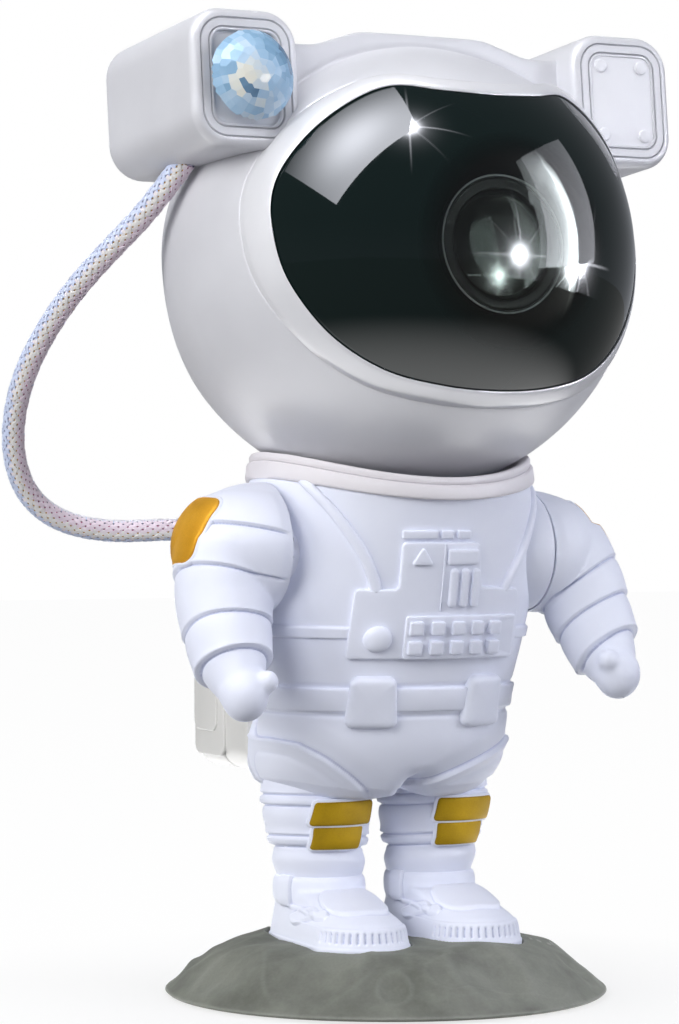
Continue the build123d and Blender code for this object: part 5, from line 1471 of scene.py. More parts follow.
@dataclass
class EarBoxes:
    """The two lamp housings at the temples, with a plate on one and a star dome on the other."""

    width: float = 27.0
    height: float = 31.5
    back: float = 21.6
    corner: float = 8.0
    edge: float = 2.2
    stud: tuple[Pair, ...] = ((1.6, -0.2), (1.6, 0.35), (1.5, 0.52), (1.3, 0.62), (0.7, 0.7), (0, 0.72))
    dome_radius: float = 11.4
    dome_rise: float = 8.5

    def outline(self, side: Side, width: float, height: float, corner: float) -> Callable[[float], Array]:
        """Outline about one ear's middle that can be inset."""
        middle = np.array((side.value * EAR_X, EAR_Z))
        return lambda inset: rounded_rectangle(width, height, corner, inset) + middle

    def housing(self, side: Side) -> Piece:
        """Models one box: filleted ends and two fine lines that frame its face."""
        face = -EAR_FRONT
        profile = [
            (CLOSE, face + 1.0), (6.2, face + 1.0), (5.5, face + 1.0), (5.3, face + 0.9),
            (5.2, face + 0.12), (5.05, face)]
        for inset in (4.7, 2.6):
            profile += [(inset, face), (inset - 0.06, face + 0.35), (inset - 0.25, face + 0.5),
                        (inset - 0.44, face + 0.35), (inset - 0.5, face)]
        for step in range(1, 9):
            lean = math.radians(90 * step / 8)
            profile.append((self.edge * (1 - math.sin(lean)), face + self.edge * (1 - math.cos(lean))))
        profile += [(0, y) for y in np.linspace(face + self.edge + 2, self.back - self.edge - 2, 12)]
        profile += rear_round(self.edge, self.back, 0)
        profile += [(6.0, self.back), (CLOSE, self.back)]
        rings = loops(self.outline(side, self.width, self.height, self.corner), profile)
        piece = loft(f"{side.word}_ear_housing", rings)
        shade(piece, 45)
        return piece

    def cover_plate(self) -> Piece:
        """Models the left ear's plate with four domed studs."""
        face = -EAR_FRONT + 0.3
        rings = loops(
            self.outline(Side.LEFT, 17.2, 21.8, 3.4),
            [(CLOSE, face + 0.6), (0, face + 0.6), (0, face + 0.25), (0.08, face + 0.08), (0.28, face),
             (CLOSE, face)])
        parts = [loft("plate_face", rings)]
        for across in (-5.65, 5.65):
            for up in (-8.2, 8.2):
                profile = [(radius, face - rise) for radius, rise in self.stud]
                parts.append(loft("stud", turned(profile, 15, EAR_X + across, EAR_Z + up)))
        piece = join("ear_cover_plate", parts)
        shade(piece, 45)
        return piece

    def star_dome(self) -> Piece:
        """Cuts the star dome: a cap with flat six-sided facets, each cut by one plane."""
        centre = np.array((-EAR_X, -EAR_FRONT, EAR_Z))
        cap = (self.dome_radius**2 + self.dome_rise**2) / (2 * self.dome_rise)
        middle = centre + (0, cap - self.dome_rise, 0)
        piece = ball("star_dome_cap", middle, (cap * 1.12,) * 3, 24)
        take(piece)
        bpy.ops.object.mode_set(mode="EDIT")
        rings = ((0, 1), (9, 6), (18, 12), (27, 18), (36, 24), (45, 29), (54, 33), (63, 37), (71, 40))
        for tilt, count in rings:
            for k in range(count):
                turn = 2 * math.pi * (k + 0.5 * (tilt / 9 % 2)) / count
                lean = math.radians(tilt)
                facing = Vector(
                    (math.sin(lean) * math.cos(turn), -math.cos(lean), math.sin(lean) * math.sin(turn)))
                bpy.ops.mesh.select_all(action="SELECT")
                bpy.ops.mesh.bisect(
                    plane_co=(Vector(middle) + facing * cap) * MM, plane_no=facing, use_fill=True,
                    clear_outer=True)
        bpy.ops.mesh.select_all(action="SELECT")
        bpy.ops.mesh.bisect(
            plane_co=Vector(centre + (0, 0.6, 0)) * MM, plane_no=(0, 1, 0), use_fill=True, clear_outer=True)
        bpy.ops.mesh.select_all(action="SELECT")
        bpy.ops.mesh.remove_doubles(threshold=0.05 * MM)
        bpy.ops.mesh.normals_make_consistent(inside=False)
        bpy.ops.object.mode_set(mode="OBJECT")
        self.tint(piece, centre)
        return piece

    def tint(self, piece: Piece, centre: Array) -> None:
        """Paints each of the facets with a tone that stands in for its reflection: pale, blue, and painted
        shade towards the far rim.
        """
        dice = random.Random(7)
        painted_light_tones = []
        for face in piece.data.polygons:
            across, _, up = (np.array(face.center) / MM - centre) / self.dome_radius
            # Tone by place: painted shade towards the upper far rim, bluer towards the other side, and a
            # random spread as painted reflection.
            rim = max(0.0, 0.62 * across + 0.42 * up + 0.15)
            tone = 0.22 + 0.30 * max(0.0, -across) + 0.75 * rim**1.5 + dice.uniform(-0.12, 0.16)
            # Pale and dark facets in the middle: the LEDs behind the dome, with a painted glow.
            if math.hypot(across + 0.28, up + 0.12) < 0.36:
                tone = dice.choice((0.02, 0.05, 0.72, 0.12))
            painted_light_tones.append(min(1.0, max(0.0, tone)))
        data = piece.data.attributes.new("facet", "FLOAT", "FACE")
        data.data.foreach_set("value", painted_light_tones)

    def build(self) -> None:
        """Models and dresses both ears."""
        for side in Side:
            piece = self.housing(side)
            onto_head(piece)
            hand_over(piece, Body.HEAD, "helmet_plastic", SHELL, f"{side.word}_ear_box")
        plate_piece = self.cover_plate()
        onto_head(plate_piece)
        hand_over(plate_piece, Body.HEAD, "plate_plastic", PLATE, "left_ear_plate")
        dome = self.star_dome()
        onto_head(dome)
        hand_over(dome, Body.HEAD, "clear_blue", DOME_BLUE, "star_dome")


# ---------------------------------------------------------------- forms that are laid on others
def skin_of(piece: Piece) -> BVHTree:
    """Search tree of a piece's faces, in millimetres."""
    at = coordinates(piece)
    return BVHTree.FromPolygons(
        [Vector(p) for p in at], [tuple(face.vertices) for face in piece.data.polygons])


def lay_on(
    piece: Piece, tree: BVHTree, origin: Sequence[float], across: Sequence[float],
    up: Sequence[float], out: Sequence[float],
) -> None:
    """Bends a flat piece onto a skin: its x and z run over the skin, and -y is its height.

    Args:
        piece: the flat piece, drawn about the origin.
        tree: the skin.
        origin: where its origin looks at the skin.
        across: direction of its x.
        up: direction of its z.
        out: direction away from the skin.
    """
    start, across, up, out = (np.array(v, float) for v in (origin, across, up, out))
    places = coordinates(piece)
    for index, (a, depth, b) in enumerate(places):
        spot = Vector(start + a * across + b * up + 60 * out)
        hit, normal, _, _ = tree.ray_cast(spot, Vector(-out))
        if hit is None:
            hit, normal, _, _ = tree.find_nearest(Vector(start + a * across + b * up))
        if normal.dot(Vector(out)) < 0:
            normal = -normal
        places[index] = np.array(hit - normal * depth)
    place_vertices(piece, places)


def rolls(along: Array, creases: Sequence[float], bulge: float, hem: float) -> Array:
    """Height of padded rolls, each of which ends below in a hem that overhangs the next roll.

    Args:
        along: place along the limb, in mm, rising towards the body.
        creases: where the hems end, rising.
        bulge: how far the middle of a roll stands out.
        hem: how far a hem stands out over the roll under it.

    Returns:
        The height at each place.
    """
    total = np.zeros(along.shape)
    for low, high in zip(creases, creases[1:]):
        share = np.clip((along - low) / (high - low), 0, 1)
        total += bulge * (1 - (2 * share - 1) ** 2) * ((along >= low) & (along <= high))
    for low in creases[:-1]:
        total += hem * np.exp(-np.clip(along - low, 0, None) / 1.5) * smooth_step(along - low, -0.22, 0.3)
        total -= 0.45 * np.exp(-(((along - low + 0.4) / 0.3) ** 2))
    return total


def saddle(x: Array) -> Array:
    """How far the neck line climbs from the middle to the shoulders."""
    return SADDLE_RADIUS - np.sqrt(SADDLE_RADIUS**2 - np.clip(x, -33.5, 33.5) ** 2)


# ---------------------------------------------------------------- collar
@dataclass
class Collar:
    """Cream neck ring: a band and a lip that climb to the shoulders."""

    low_z: float = 116.3
    top_z: float = 121.5
    dish_radius: float = 57.0  # the helmet rolls inside this sphere
    side_limit: float = 33.3  # the arms turn outside this
    around: int = 240

    def build(self) -> None:
        """Turns the ring, with its height bent into a saddle and its inside dished for the helmet."""
        turns = np.linspace(0, 2 * math.pi, self.around, endpoint=False)
        rings = []
        for radius, share in (
            (30.2, 0.0), (33.5, 0.0), (33.9, 0.03), (34.05, 0.1), (33.75, 0.54), (33.6, 0.6), (33.3, 0.63),
            (32.85, 0.64), (32.75, 0.67), (33.0, 0.71), (33.05, 0.9), (32.8, 0.97), (32.1, 1.0),
            (31.0, 1.0), (30.2, 0.93),
            (28.5, 0.75), (28.5, 0.0), (30.2, 0.0),
        ):
            x, y = radius * np.cos(turns), radius * np.sin(turns)
            low = self.low_z + 0.8 * saddle(x)
            high = self.top_z + saddle(x)
            ring = np.column_stack([x, NECK_Y + y, low + share * (high - low)]) - HELMET_CENTRE
            away = np.linalg.norm(ring, axis=1)[:, None]
            ring = HELMET_CENTRE + ring * np.maximum(1.0, self.dish_radius / away)
            ring[:, 0] = np.clip(ring[:, 0], -self.side_limit, self.side_limit)
            rings.append(ring)
        piece = loft("neck_ring", rings)
        shade(piece, 60)
        hand_over(piece, Body.FIGURE, "collar_cream", COLLAR, "neck_collar")


# ---------------------------------------------------------------- torso
TORSO = (
    (47.0, 28.4, 18.5, 5.4), (53.5, 30.6, 22.5, 5.0), (60.0, 31.0, 25.0, 4.4), (69.0, 29.4, 25.2, 2.8),
    (83.0, 32.0, 27.2, 1.0), (94.0, 33.6, 28.2, -0.4), (105.0, 33.4, 29.4, -1.4), (116.6, 32.0, 31.2, -1.7),
)


@dataclass
class Torso:
    """Trunk of the suit with its seams, straps and hip rolls, and what is fixed to its front."""

    low_z: float = 46.4
    top_z: float = 116.6
    around: int = 360
    rows: int = 230
    side_limit: float = 33.2
    belt: Pair = (67.6, 73.2)
    pouch_turn: float = 30.5
    arm_axis: Pair = (-5.6, 104.4)
    strap: tuple[Pair, ...] = (
        (30.7, 120.6), (28.5, 117.2), (26.0, 113.4), (23.8, 109.8), (20.8, 104.7), (17.2, 98.3),
        (16.0, 95.6))
    strap_section: tuple[Pair, ...] = (
        (-1, -0.8), (-1, 1.1), (-0.9, 1.45), (-0.6, 1.7), (0, 1.85), (0.6, 1.7), (0.9, 1.45), (1, 1.1),
        (1, -0.8))
    right_hip: tuple[Pair, ...] = (
        (36.0, 60.2), (30.4, 60.8), (26.8, 60.0), (21.6, 56.8), (15.2, 52.0), (11.4, 48.9), (7.0, 44.5),
        (0.0, 38.0))
    left_hip: tuple[Pair, ...] = (
        (36.0, 61.4), (29.0, 60.2), (22.0, 57.8), (15.1, 55.4), (6.7, 52.4), (0.0, 49.6), (-8.0, 46.5))

    def form(self) -> Piece:
        """Models the plain trunk, closed below and under the collar."""
        turns = np.linspace(0, 2 * math.pi, self.around, endpoint=False)
        cos, sin = np.cos(turns), np.sin(turns)
        rings = []

        def ring(height: float, shrink: float, drop: float = 0.0) -> Array:
            half_w, half_d, mid_y = table_lookup(TORSO, np.array([height]))[0]
            x = (half_w * shrink) * cos
            limit = self.side_limit * shrink
            x = np.sign(x) * -smooth_max(-np.abs(x), np.full(x.shape, -limit), 0.6)
            y = mid_y + half_d * shrink * sin
            rise = smooth_step(np.array(height), 92, 116.6) * 0.85
            z = height - drop + rise * saddle(x)
            return np.column_stack([x, y, z])

        rings.append(ring(self.low_z + 1.2, 0.0, -2.6))
        for shrink, drop in (
                (0.3, 0.2), (0.6, 0.8), (0.8, 0.9), (0.88, 0.6), (0.93, 0.1), (0.965, -0.5), (0.987, -1.2)):
            rings.append(ring(self.low_z + 1.2, shrink, drop))
        for height in np.linspace(self.low_z + 3.2, self.top_z - 0.6, self.rows):
            rings.append(ring(height, 1.0))
        for shrink, drop in ((0.995, 0.1), (0.98, 0.0), (0.95, 2.5), (0.9, 5.5), (0.5, 8.5), (0.0, 8.5)):
            rings.append(ring(self.top_z, shrink, drop))
        piece = loft("suit_trunk", rings)
        sculpt(piece, self.split_thighs)
        return piece

    def split_thighs(self, at: Array) -> Array:
        """Parts the low end of the trunk into two round thighs with a cleft between them."""
        x, y, z = at.T
        low = 1 - smooth_step(z, 47, 56)
        cleft = np.exp(-((x / 3.6) ** 2))
        lifted = z + low * (3.4 * cleft + 2.4 * smooth_step(np.abs(x), 15, 31))
        drawn = 1 - 0.30 * low * cleft
        return np.column_stack([x, 5.4 + (y - 5.4) * drawn, lifted])

    def relief(self, at: Array, facing: Array) -> Array:
        """Height of the seams, straps and rolls over the plain trunk."""
        x, y, z = at.T
        ahead = smooth_step(-y, 0, 9)
        total = self.step(np.abs(z - 86.1 + 0.012 * x), 1.25) * 0.75 * smooth_step(np.abs(x), 18.6, 20.2)
        hips = np.where(x < 0, line_distance(-x, z, self.right_hip)[0], line_distance(x, z, self.left_hip)[0])
        behind = smooth_step(y, 4, 14)
        gap = hips * (1 - behind) + (z - 60.2) * behind
        hem = np.exp(-np.clip(gap, 0, None) / 1.9) * smooth_step(gap, -0.2, 0.35)
        inner = groove(gap - 3.0, 1.4, 0.25)
        thigh = (1 - smooth_step(gap, -0.3, 0.0)) * (0.15 + 1.1 * smooth_step(-gap, 0.3, 6.0))
        total += 1.4 * hem + inner + thigh - 0.45 * np.exp(-(((gap + 0.35) / 0.35) ** 2))
        total += groove(z - 66.9, 1.2, 0.35) + groove(z - 73.9, 1.2, 0.3)
        total -= 0.9 * np.exp(-((x / 1.8) ** 2)) * (1 - smooth_step(z, 48, 53.5)) * ahead
        total *= smooth_step(z, 46.8, 48.4) * (1 - smooth_step(facing[:, 2], 0.6, 0.95))
        seam = groove(y - 2.6, 0.5, 0.22) * (1 - smooth_step(-y, 20, 30)) * smooth_step(z, 74, 76)
        return total + seam

    def step(self, distance: Array, half_width: float) -> Array:
        """One on a flat-topped band with crisp edges, and nothing beside it."""
        return 1 - smooth_step(distance, half_width - 0.15, half_width + 0.2)

    def brace(self, side: Side, tree: BVHTree) -> Piece:
        """Models one shoulder strap as a flat ribbon over the chest."""
        line = smooth_line(self.strap, 60)
        shift = 2.0 * smooth_step(line[:, 1], 90, 106)
        line = np.column_stack([side.value * (line[:, 0] + side.value * shift), line[:, 1]])
        along = np.gradient(line, axis=0)
        along /= np.linalg.norm(along, axis=1)[:, None]
        square = np.column_stack([-along[:, 1], along[:, 0]])
        half = 1.4 * np.sqrt(np.clip(1 - (line[:, 0] / 34.0) ** 2, 0.1, 1))
        rings = []
        for (x, z), (out_x, out_z), reach in zip(line, square, half):
            rings.append(np.array([
                (x + out_x * reach * a, -h, z + out_z * reach * a) for a, h in self.strap_section]))
        part = loft("shoulder_strap", capped(rings))
        lay_on(part, tree, (0, 0, 0), (1, 0, 0), (0, 0, 1), (0, -1, 0))
        return part

    def seat(self, side: Side, girth: float) -> Piece:
        """Models the round stub of the trunk that one arm turns against, of a girth."""
        turns = np.radians(np.arange(0, 360, 4))
        y, z = self.arm_axis
        rings = [np.tile((side.value * 20.0, y, z), (len(turns), 1))]
        for x, share in (
                (20.0, 0.84), (26.0, 0.94), (30.0, 0.985), (32.4, 1.0), (33.0, 0.99), (33.25, 0.965),
                (33.3, 0.94)):
            rings.append(np.column_stack([
                np.full(len(turns), side.value * x), y + 16.9 * girth * share * np.cos(turns),
                z + side.value * 14.5 * girth * share * np.sin(turns)]))
        rings.append(np.tile((side.value * 33.3, y, z), (len(turns), 1)))
        return loft("arm_seat", rings)

    def strip(self) -> Piece:
        """Models the belt as a rounded band round the trunk."""
        turns = np.linspace(0, 2 * math.pi, self.around, endpoint=False)
        low, high = self.belt
        rings = []
        for rise, height in (
            (-0.8, low), (1.5, low), (1.95, low + 0.18), (2.15, low + 0.6), (2.15, (low + high) / 2),
            (2.15, high - 0.6), (1.95, high - 0.18), (1.5, high), (-0.8, high), (-0.8, low),
        ):
            half_w, half_d, mid_y = table_lookup(TORSO, np.array([height]))[0]
            rings.append(np.column_stack([
                (half_w + rise) * np.cos(turns), mid_y + (half_d + rise) * np.sin(turns),
                np.full(len(turns), height)]))
        piece = loft("waist_belt", rings)
        shade(piece, 60)
        return piece

    def pouches(self, tree: BVHTree) -> Piece:
        """Models the two belt pouches, crowned and round at their rims."""
        parts = []
        low, high = 64.1, 76.4
        for side in Side:
            lean = math.radians(self.pouch_turn)
            out = np.array((side.value * math.sin(lean), -math.cos(lean), 0.0))
            across = np.array((math.cos(lean), side.value * math.sin(lean), 0.0))
            profile = [(0.0, 0.6), (0.0, -1.6), (0.12, -2.4), (0.45, -3.0), (1.0, -3.35), (1.8, -3.5),
                       (3.0, -3.6), (4.4, -3.66), (CLOSE, -3.7)]
            rings = loops(lambda inset: rounded_rectangle(11.2, high - low, 2.0, inset), profile)
            part = loft("pouch", rings)
            taper = coordinates(part)
            taper[:, 0] = taper[:, 0] * (0.96 - 0.075 * taper[:, 2] / 6) - side.value * 0.10 * taper[:, 2]
            place_vertices(part, taper)
            lay_on(part, tree, (0, 2.8, (low + high) / 2), across, (0, 0, 1), out)
            parts.append(part)
        piece = join("belt_pouch_pair", parts)
        merge(piece)
        shade(piece, 60)
        return piece

    def build(self) -> None:
        """Models and dresses the trunk, the belt and the chest panel."""
        trunk = self.form()
        tree = skin_of(trunk)
        belt, pouches = self.strip(), self.pouches(tree)
        clothed = self.form()
        emboss(clothed, lambda at, facing: np.full(len(at), 0.7))
        skin = skin_of(clothed)
        bpy.data.objects.remove(clothed)
        ChestPanel().build(skin)
        emboss(trunk, self.relief)
        straps = [self.brace(side, skin) for side in Side]
        trunk = join("suit_trunk", [trunk, *straps, self.seat(Side.LEFT, 1.0), self.seat(Side.RIGHT, 0.66)])
        shade(trunk)
        hand_over(trunk, Body.FIGURE, "suit_plastic", SUIT, "torso_front", "torso_rear")
        hand_over(belt, Body.FIGURE, "suit_plastic", SUIT, "belt")
        hand_over(pouches, Body.FIGURE, "suit_plastic", SUIT, "belt_pouches")


@dataclass
class ChestPanel:
    """Control panel on the chest: a stepped plate with a knob, a keypad and small instruments."""

    board: tuple[Pair, ...] = (
        (-20.2, 80.4), (22.0, 80.3), (20.9, 96.0), (9.2, 96.7), (7.7, 106.9), (-10.6, 106.9), (-10.8, 96.2),
        (-19.7, 96.2))
    thickness: float = 1.8
    keypad: tuple[float, float, float, float] = (5.6, 85.4, 28.6, 9.8)
    knob: Pair = (-14.2, 85.1)
    bars: tuple[float, ...] = (1.5, 4.3, 7.1)

    def stand(self, tree: BVHTree, piece: Piece) -> Piece:
        """Bends one flat piece onto the chest."""
        lay_on(piece, tree, (0, 0, 0), (1, 0, 0), (0, 0, 1), (0, -1, 0))
        return piece

    def tile(self, tree: BVHTree, box: Sequence[float], rise: float, corner: float, bevel: float) -> Piece:
        """Models one raised tile.

        Args:
            tree: the chest's skin.
            box: middle across, middle up, width and height.
            rise: height of its face over the chest.
            corner: corner radius.
            bevel: radius of its rim.

        Returns:
            The tile on the chest.
        """
        x, z, width, height = box
        tall = rise - self.thickness + 0.3
        half = min(width, height) / 2
        profile = [(0, 0.0), (0, -tall + bevel), (bevel * 0.3, -tall + bevel * 0.3), (bevel, -tall),
                   (min(half * 0.6, bevel + 0.5), -tall - 0.03), (CLOSE, -tall - 0.04)]
        rings = loops(lambda inset: rounded_rectangle(width, height, corner, inset), profile)
        piece = loft("tile", rings)
        sculpt(piece, lambda at: at + (x, 0.3 - self.thickness, z))
        return self.stand(tree, piece)

    def build(self, tree: BVHTree) -> None:
        """Models and dresses the plate and its instruments."""
        outline = soften(self.board, 1.0)
        board = self.stand(tree, plate("chest_board", outline, self.thickness, 0.4, 1.2))
        shade(board, 50)
        hand_over(board, Body.FIGURE, "suit_plastic", SUIT, "chest_panel")
        parts = [self.tile(tree, self.keypad, 2.5, 0.6, 0.25)]
        x, z, _, _ = self.keypad
        for column in range(5):
            for row in (-1, 1):
                parts.append(self.tile(
                    tree, (x - 2.2 + 4.9 * (column - 2), z + 2.2 * row, 3.0, 3.0), 3.3, 0.35, 0.2))
        for left in self.bars:
            parts.append(self.tile(tree, (left, 96.6, 1.9, 8.9), 2.65, 0.9, 0.4))
        parts.append(self.tile(tree, (3.4, 103.7, 7.6, 3.5), 2.6, 0.5, 0.3))
        parts.append(self.tile(tree, (-1.0, 99.0, 0.55, 15.4), 2.1, 0.25, 0.2))
        for middle, width in ((-6.8, 8.0), (-0.5, 2.9), (3.7, 3.3)):
            tab = plate("tab", rounded_rectangle(width, 1.9, 0.35, 0.0), 1.5, 0.3, 1.2)
            sculpt(tab, lambda at: at + (middle, 0, 108.6))
            parts.append(self.stand(tree, tab))
        wedge = plate("wedge", soften([(-8.6, 101.9), (-3.7, 101.9), (-6.2, 106.0)], 0.4), 2.6, 0.3, 1.2)
        parts.append(self.stand(tree, wedge))
        dome = ((2.9, -1.4), (2.9, -2.3), (2.8, -2.7), (2.5, -3.05), (2.0, -3.35), (1.3, -3.6), (0, -3.7))
        parts.append(self.stand(tree, loft("knob", turned(dome, 7.5, *self.knob))))
        instruments = join("chest_instrument_set", parts)
        shade(instruments, 50)
        hand_over(instruments, Body.FIGURE, "suit_plastic", SUIT, "chest_instruments")


def soften(corners: Sequence[Pair], radius: float) -> Array:
    """Closed outline with each corner rounded by four points."""
    points = []
    count = len(corners)
    for index, corner in enumerate(corners):
        here = np.array(corner, float)
        before, after = (np.array(corners[(index + step) % count], float) - here for step in (-1, 1))
        before, after = before / np.linalg.norm(before), after / np.linalg.norm(after)
        half = math.acos(float(np.clip(before @ after, -1, 1))) / 2
        reach = radius / math.tan(half)
        middle = here + (before + after) / np.linalg.norm(before + after) * radius / math.sin(half)
        start, end = here + before * reach - middle, here + after * reach - middle
        for share in np.linspace(0, 1, 5):
            spoke = start * (1 - share) + end * share
            points.append(middle + spoke / np.linalg.norm(spoke) * radius)
    return np.array(points)


# ---------------------------------------------------------------- limbs
@dataclass(frozen=True)
class ArmLine:
    """Course of one arm, with x counted outwards: its sleeve, palm, thumb and creases, in mm."""

    sleeve: tuple[tuple[float, float, float, float], ...]
    palm: Triple
    thumb: Triple
    creases: tuple[float, ...]
    tilt: Pair  # how much the creases rise towards the front, at the cuff and at the shoulder
    slant: Pair  # how much they rise outwards
    shoulder: Triple
    girth: Triple


@dataclass
class Arms:
    """Both arms: a shoulder, a rolled sleeve with its cuff, and a mitten with a thumb."""

    face_x: float = 33.5
    lines: dict[Side, ArmLine] = field(default_factory=lambda: {
        Side.RIGHT: ArmLine(
            ((43.2, -6.6, 104.0, 11.6), (44.8, -7.5, 99.0, 11.2), (45.4, -8.8, 94.0, 10.7),
             (45.8, -10.6, 90.0, 10.3),
             (46.2, -13.1, 84.7, 9.5), (46.5, -16.6, 79.0, 8.1), (46.5, -19.0, 76.2, 7.0),
             (46.5, -21.0, 74.2, 6.0)),
            (46.5, -23.2, 72.4), (42.2, -26.0, 75.6), (79.0, 87.0, 97.6, 108.0, 119.0), (0.5, 0.25),
            (0.0, 0.3),
            (33.5, -3.8, 105.3), (21.0, 17.4, 15.2)),
        Side.LEFT: ArmLine(
            ((42.0, -7.6, 104.0, 11.0), (44.6, -9.6, 99.0, 10.6), (45.8, -12.0, 94.0, 10.1),
             (46.2, -14.2, 90.2, 9.6),
             (46.7, -17.4, 85.4, 8.8), (47.0, -21.0, 80.8, 7.7), (47.0, -23.6, 78.2, 6.8),
             (47.0, -25.4, 76.6, 5.8)),
            (47.0, -27.3, 75.6), (43.0, -29.9, 79.0), (80.8, 88.4, 95.6, 118.0), (0.5, 0.4), (0.3, 0.45),
            (33.5, -5.2, 104.2), (17.6, 17.2, 14.5)),
    })

    def along(self, at: Array, line: ArmLine) -> Array:
        """Height of the level on which each crease lies, so that it arches over the arm."""
        x, y, z = at.T
        spine = np.array(line.sleeve)[::-1]
        middle_x, middle_y = np.interp(z, spine[:, 2], spine[:, 0]), np.interp(z, spine[:, 2], spine[:, 1])
        up = smooth_step(z, 84, 104)
        tilt = line.tilt[0] + (line.tilt[1] - line.tilt[0]) * up
        slant = line.slant[0] + (line.slant[1] - line.slant[0]) * up
        return z + tilt * (y - middle_y) - slant * (x - middle_x)

    def limb(self, line: ArmLine, carved: bool) -> Piece:
        """Models one arm on the left side, plain or with its rolls."""
        spine = smooth_line(line.sleeve, 24)
        turns = np.radians(np.arange(0, 360, 7.5))
        rings = []
        for index, (x, y, z, radius) in enumerate(spine):
            before, after = spine[max(index - 1, 0), :3], spine[min(index + 1, 23), :3]
            down = (after - before) / np.linalg.norm(after - before)
            across = np.cross(down, (0, 1, 0))
            across /= np.linalg.norm(across)
            rings.append(np.array((x, y, z)) + radius * (
                np.cos(turns)[:, None] * across + np.sin(turns)[:, None] * np.cross(down, across)))
        rings = [np.repeat(spine[:1, :3], 48, axis=0), *rings, np.repeat(spine[-1:, :3], 48, axis=0)]
        wrist = (spine[-1, :3] + np.array(line.palm)) / 2
        parts = [
            ball("shoulder", line.shoulder, line.girth, 64), loft("sleeve", rings),
            ball("palm", line.palm, (5.6, 5.8, 6.3)), ball("thumb", line.thumb, (2.8, 3.1, 2.9), 32),
            ball("wrist", wrist, (6.0, 5.9, 5.6)),
        ]
        piece = join("arm", parts)
        melt(piece, 0.6, 8)
        modify(piece, "SUBSURF", levels=1, subdivision_type="CATMULL_CLARK")
        if not carved:
            return piece
        emboss(piece, lambda at, facing: self.folds(at, line))
        cut_off(piece, (self.face_x, 0, 0), (1, 0, 0))
        return piece

    def folds(self, at: Array, line: ArmLine) -> Array:
        """Height of the sleeve's rolls, which fade out at the flat face and over the mitten."""
        s = self.along(at, line)
        cuff = line.creases[0]
        sleeve = smooth_step(s, cuff - 0.5, cuff - 0.1)
        lift = rolls(s, line.creases, 0.6, 0.8) * smooth_step(at[:, 0], 33.8, 36.5)
        return lift + 0.5 * sleeve * np.exp(-np.clip(s - cuff, 0, None) / 2.5) - 0.25 * (1 - sleeve)

    def patch(self, side: Side, tree: BVHTree) -> tuple[Piece, Piece]:
        """Models one shoulder patch and the raised white rim round it."""
        sign = side.value
        across, up, out = upright((sign * 1.0, -0.10, 0.40))
        origin = (sign * 43.0, -4.4, 105.6)
        field_rings = loops(
            lambda inset: rounded_rectangle(13.4, 16.6, 3.2, inset),
            [(0, 0.5), (0, -0.45), (0.15, -0.8), (0.5, -0.98), (1.2, -1.05), (3, -1.1), (5, -1.1),
             (CLOSE, -1.1)])
        gold = loft(f"{side.word}_shoulder_badge", field_rings)
        rim_rings = loops(
            lambda inset: rounded_rectangle(15.0, 18.2, 4.0, inset),
            [(0, 0.5), (0, -0.2), (0.2, -0.6), (0.55, -0.85), (0.85, -0.75), (0.95, -0.4), (0.95, 0.5)])
        edge = loft(f"{side.word}_shoulder_badge_rim", rim_rings)
        for piece in (gold, edge):
            lay_on(piece, tree, origin, across, up, out)
            merge(piece)
            shade(piece, 60)
        return gold, edge

    def build(self) -> None:
        """Models and dresses both arms."""
        for side, line in self.lines.items():
            plain, piece = self.limb(line, False), self.limb(line, True)
            for form in (plain, piece):
                if side is Side.RIGHT:
                    sculpt(form, lambda at: at * (-1, 1, 1))
                    form.data.flip_normals()
            tree = skin_of(plain)
            bpy.data.objects.remove(plain)
            piece.name = f"{side.word}_sleeve_and_mitten"
            shade(piece, 60)
            body = Body.LEFT_ARM if side is Side.LEFT else Body.RIGHT_ARM
            gold, edge = self.patch(side, tree)
            hand_over(piece, body, "suit_plastic", SUIT, f"{side.word}_arm")
            hand_over(gold, body, "patch_gold", SHOULDER_GOLD, f"{side.word}_shoulder_patch")
            hand_over(edge, body, "suit_plastic", SUIT)


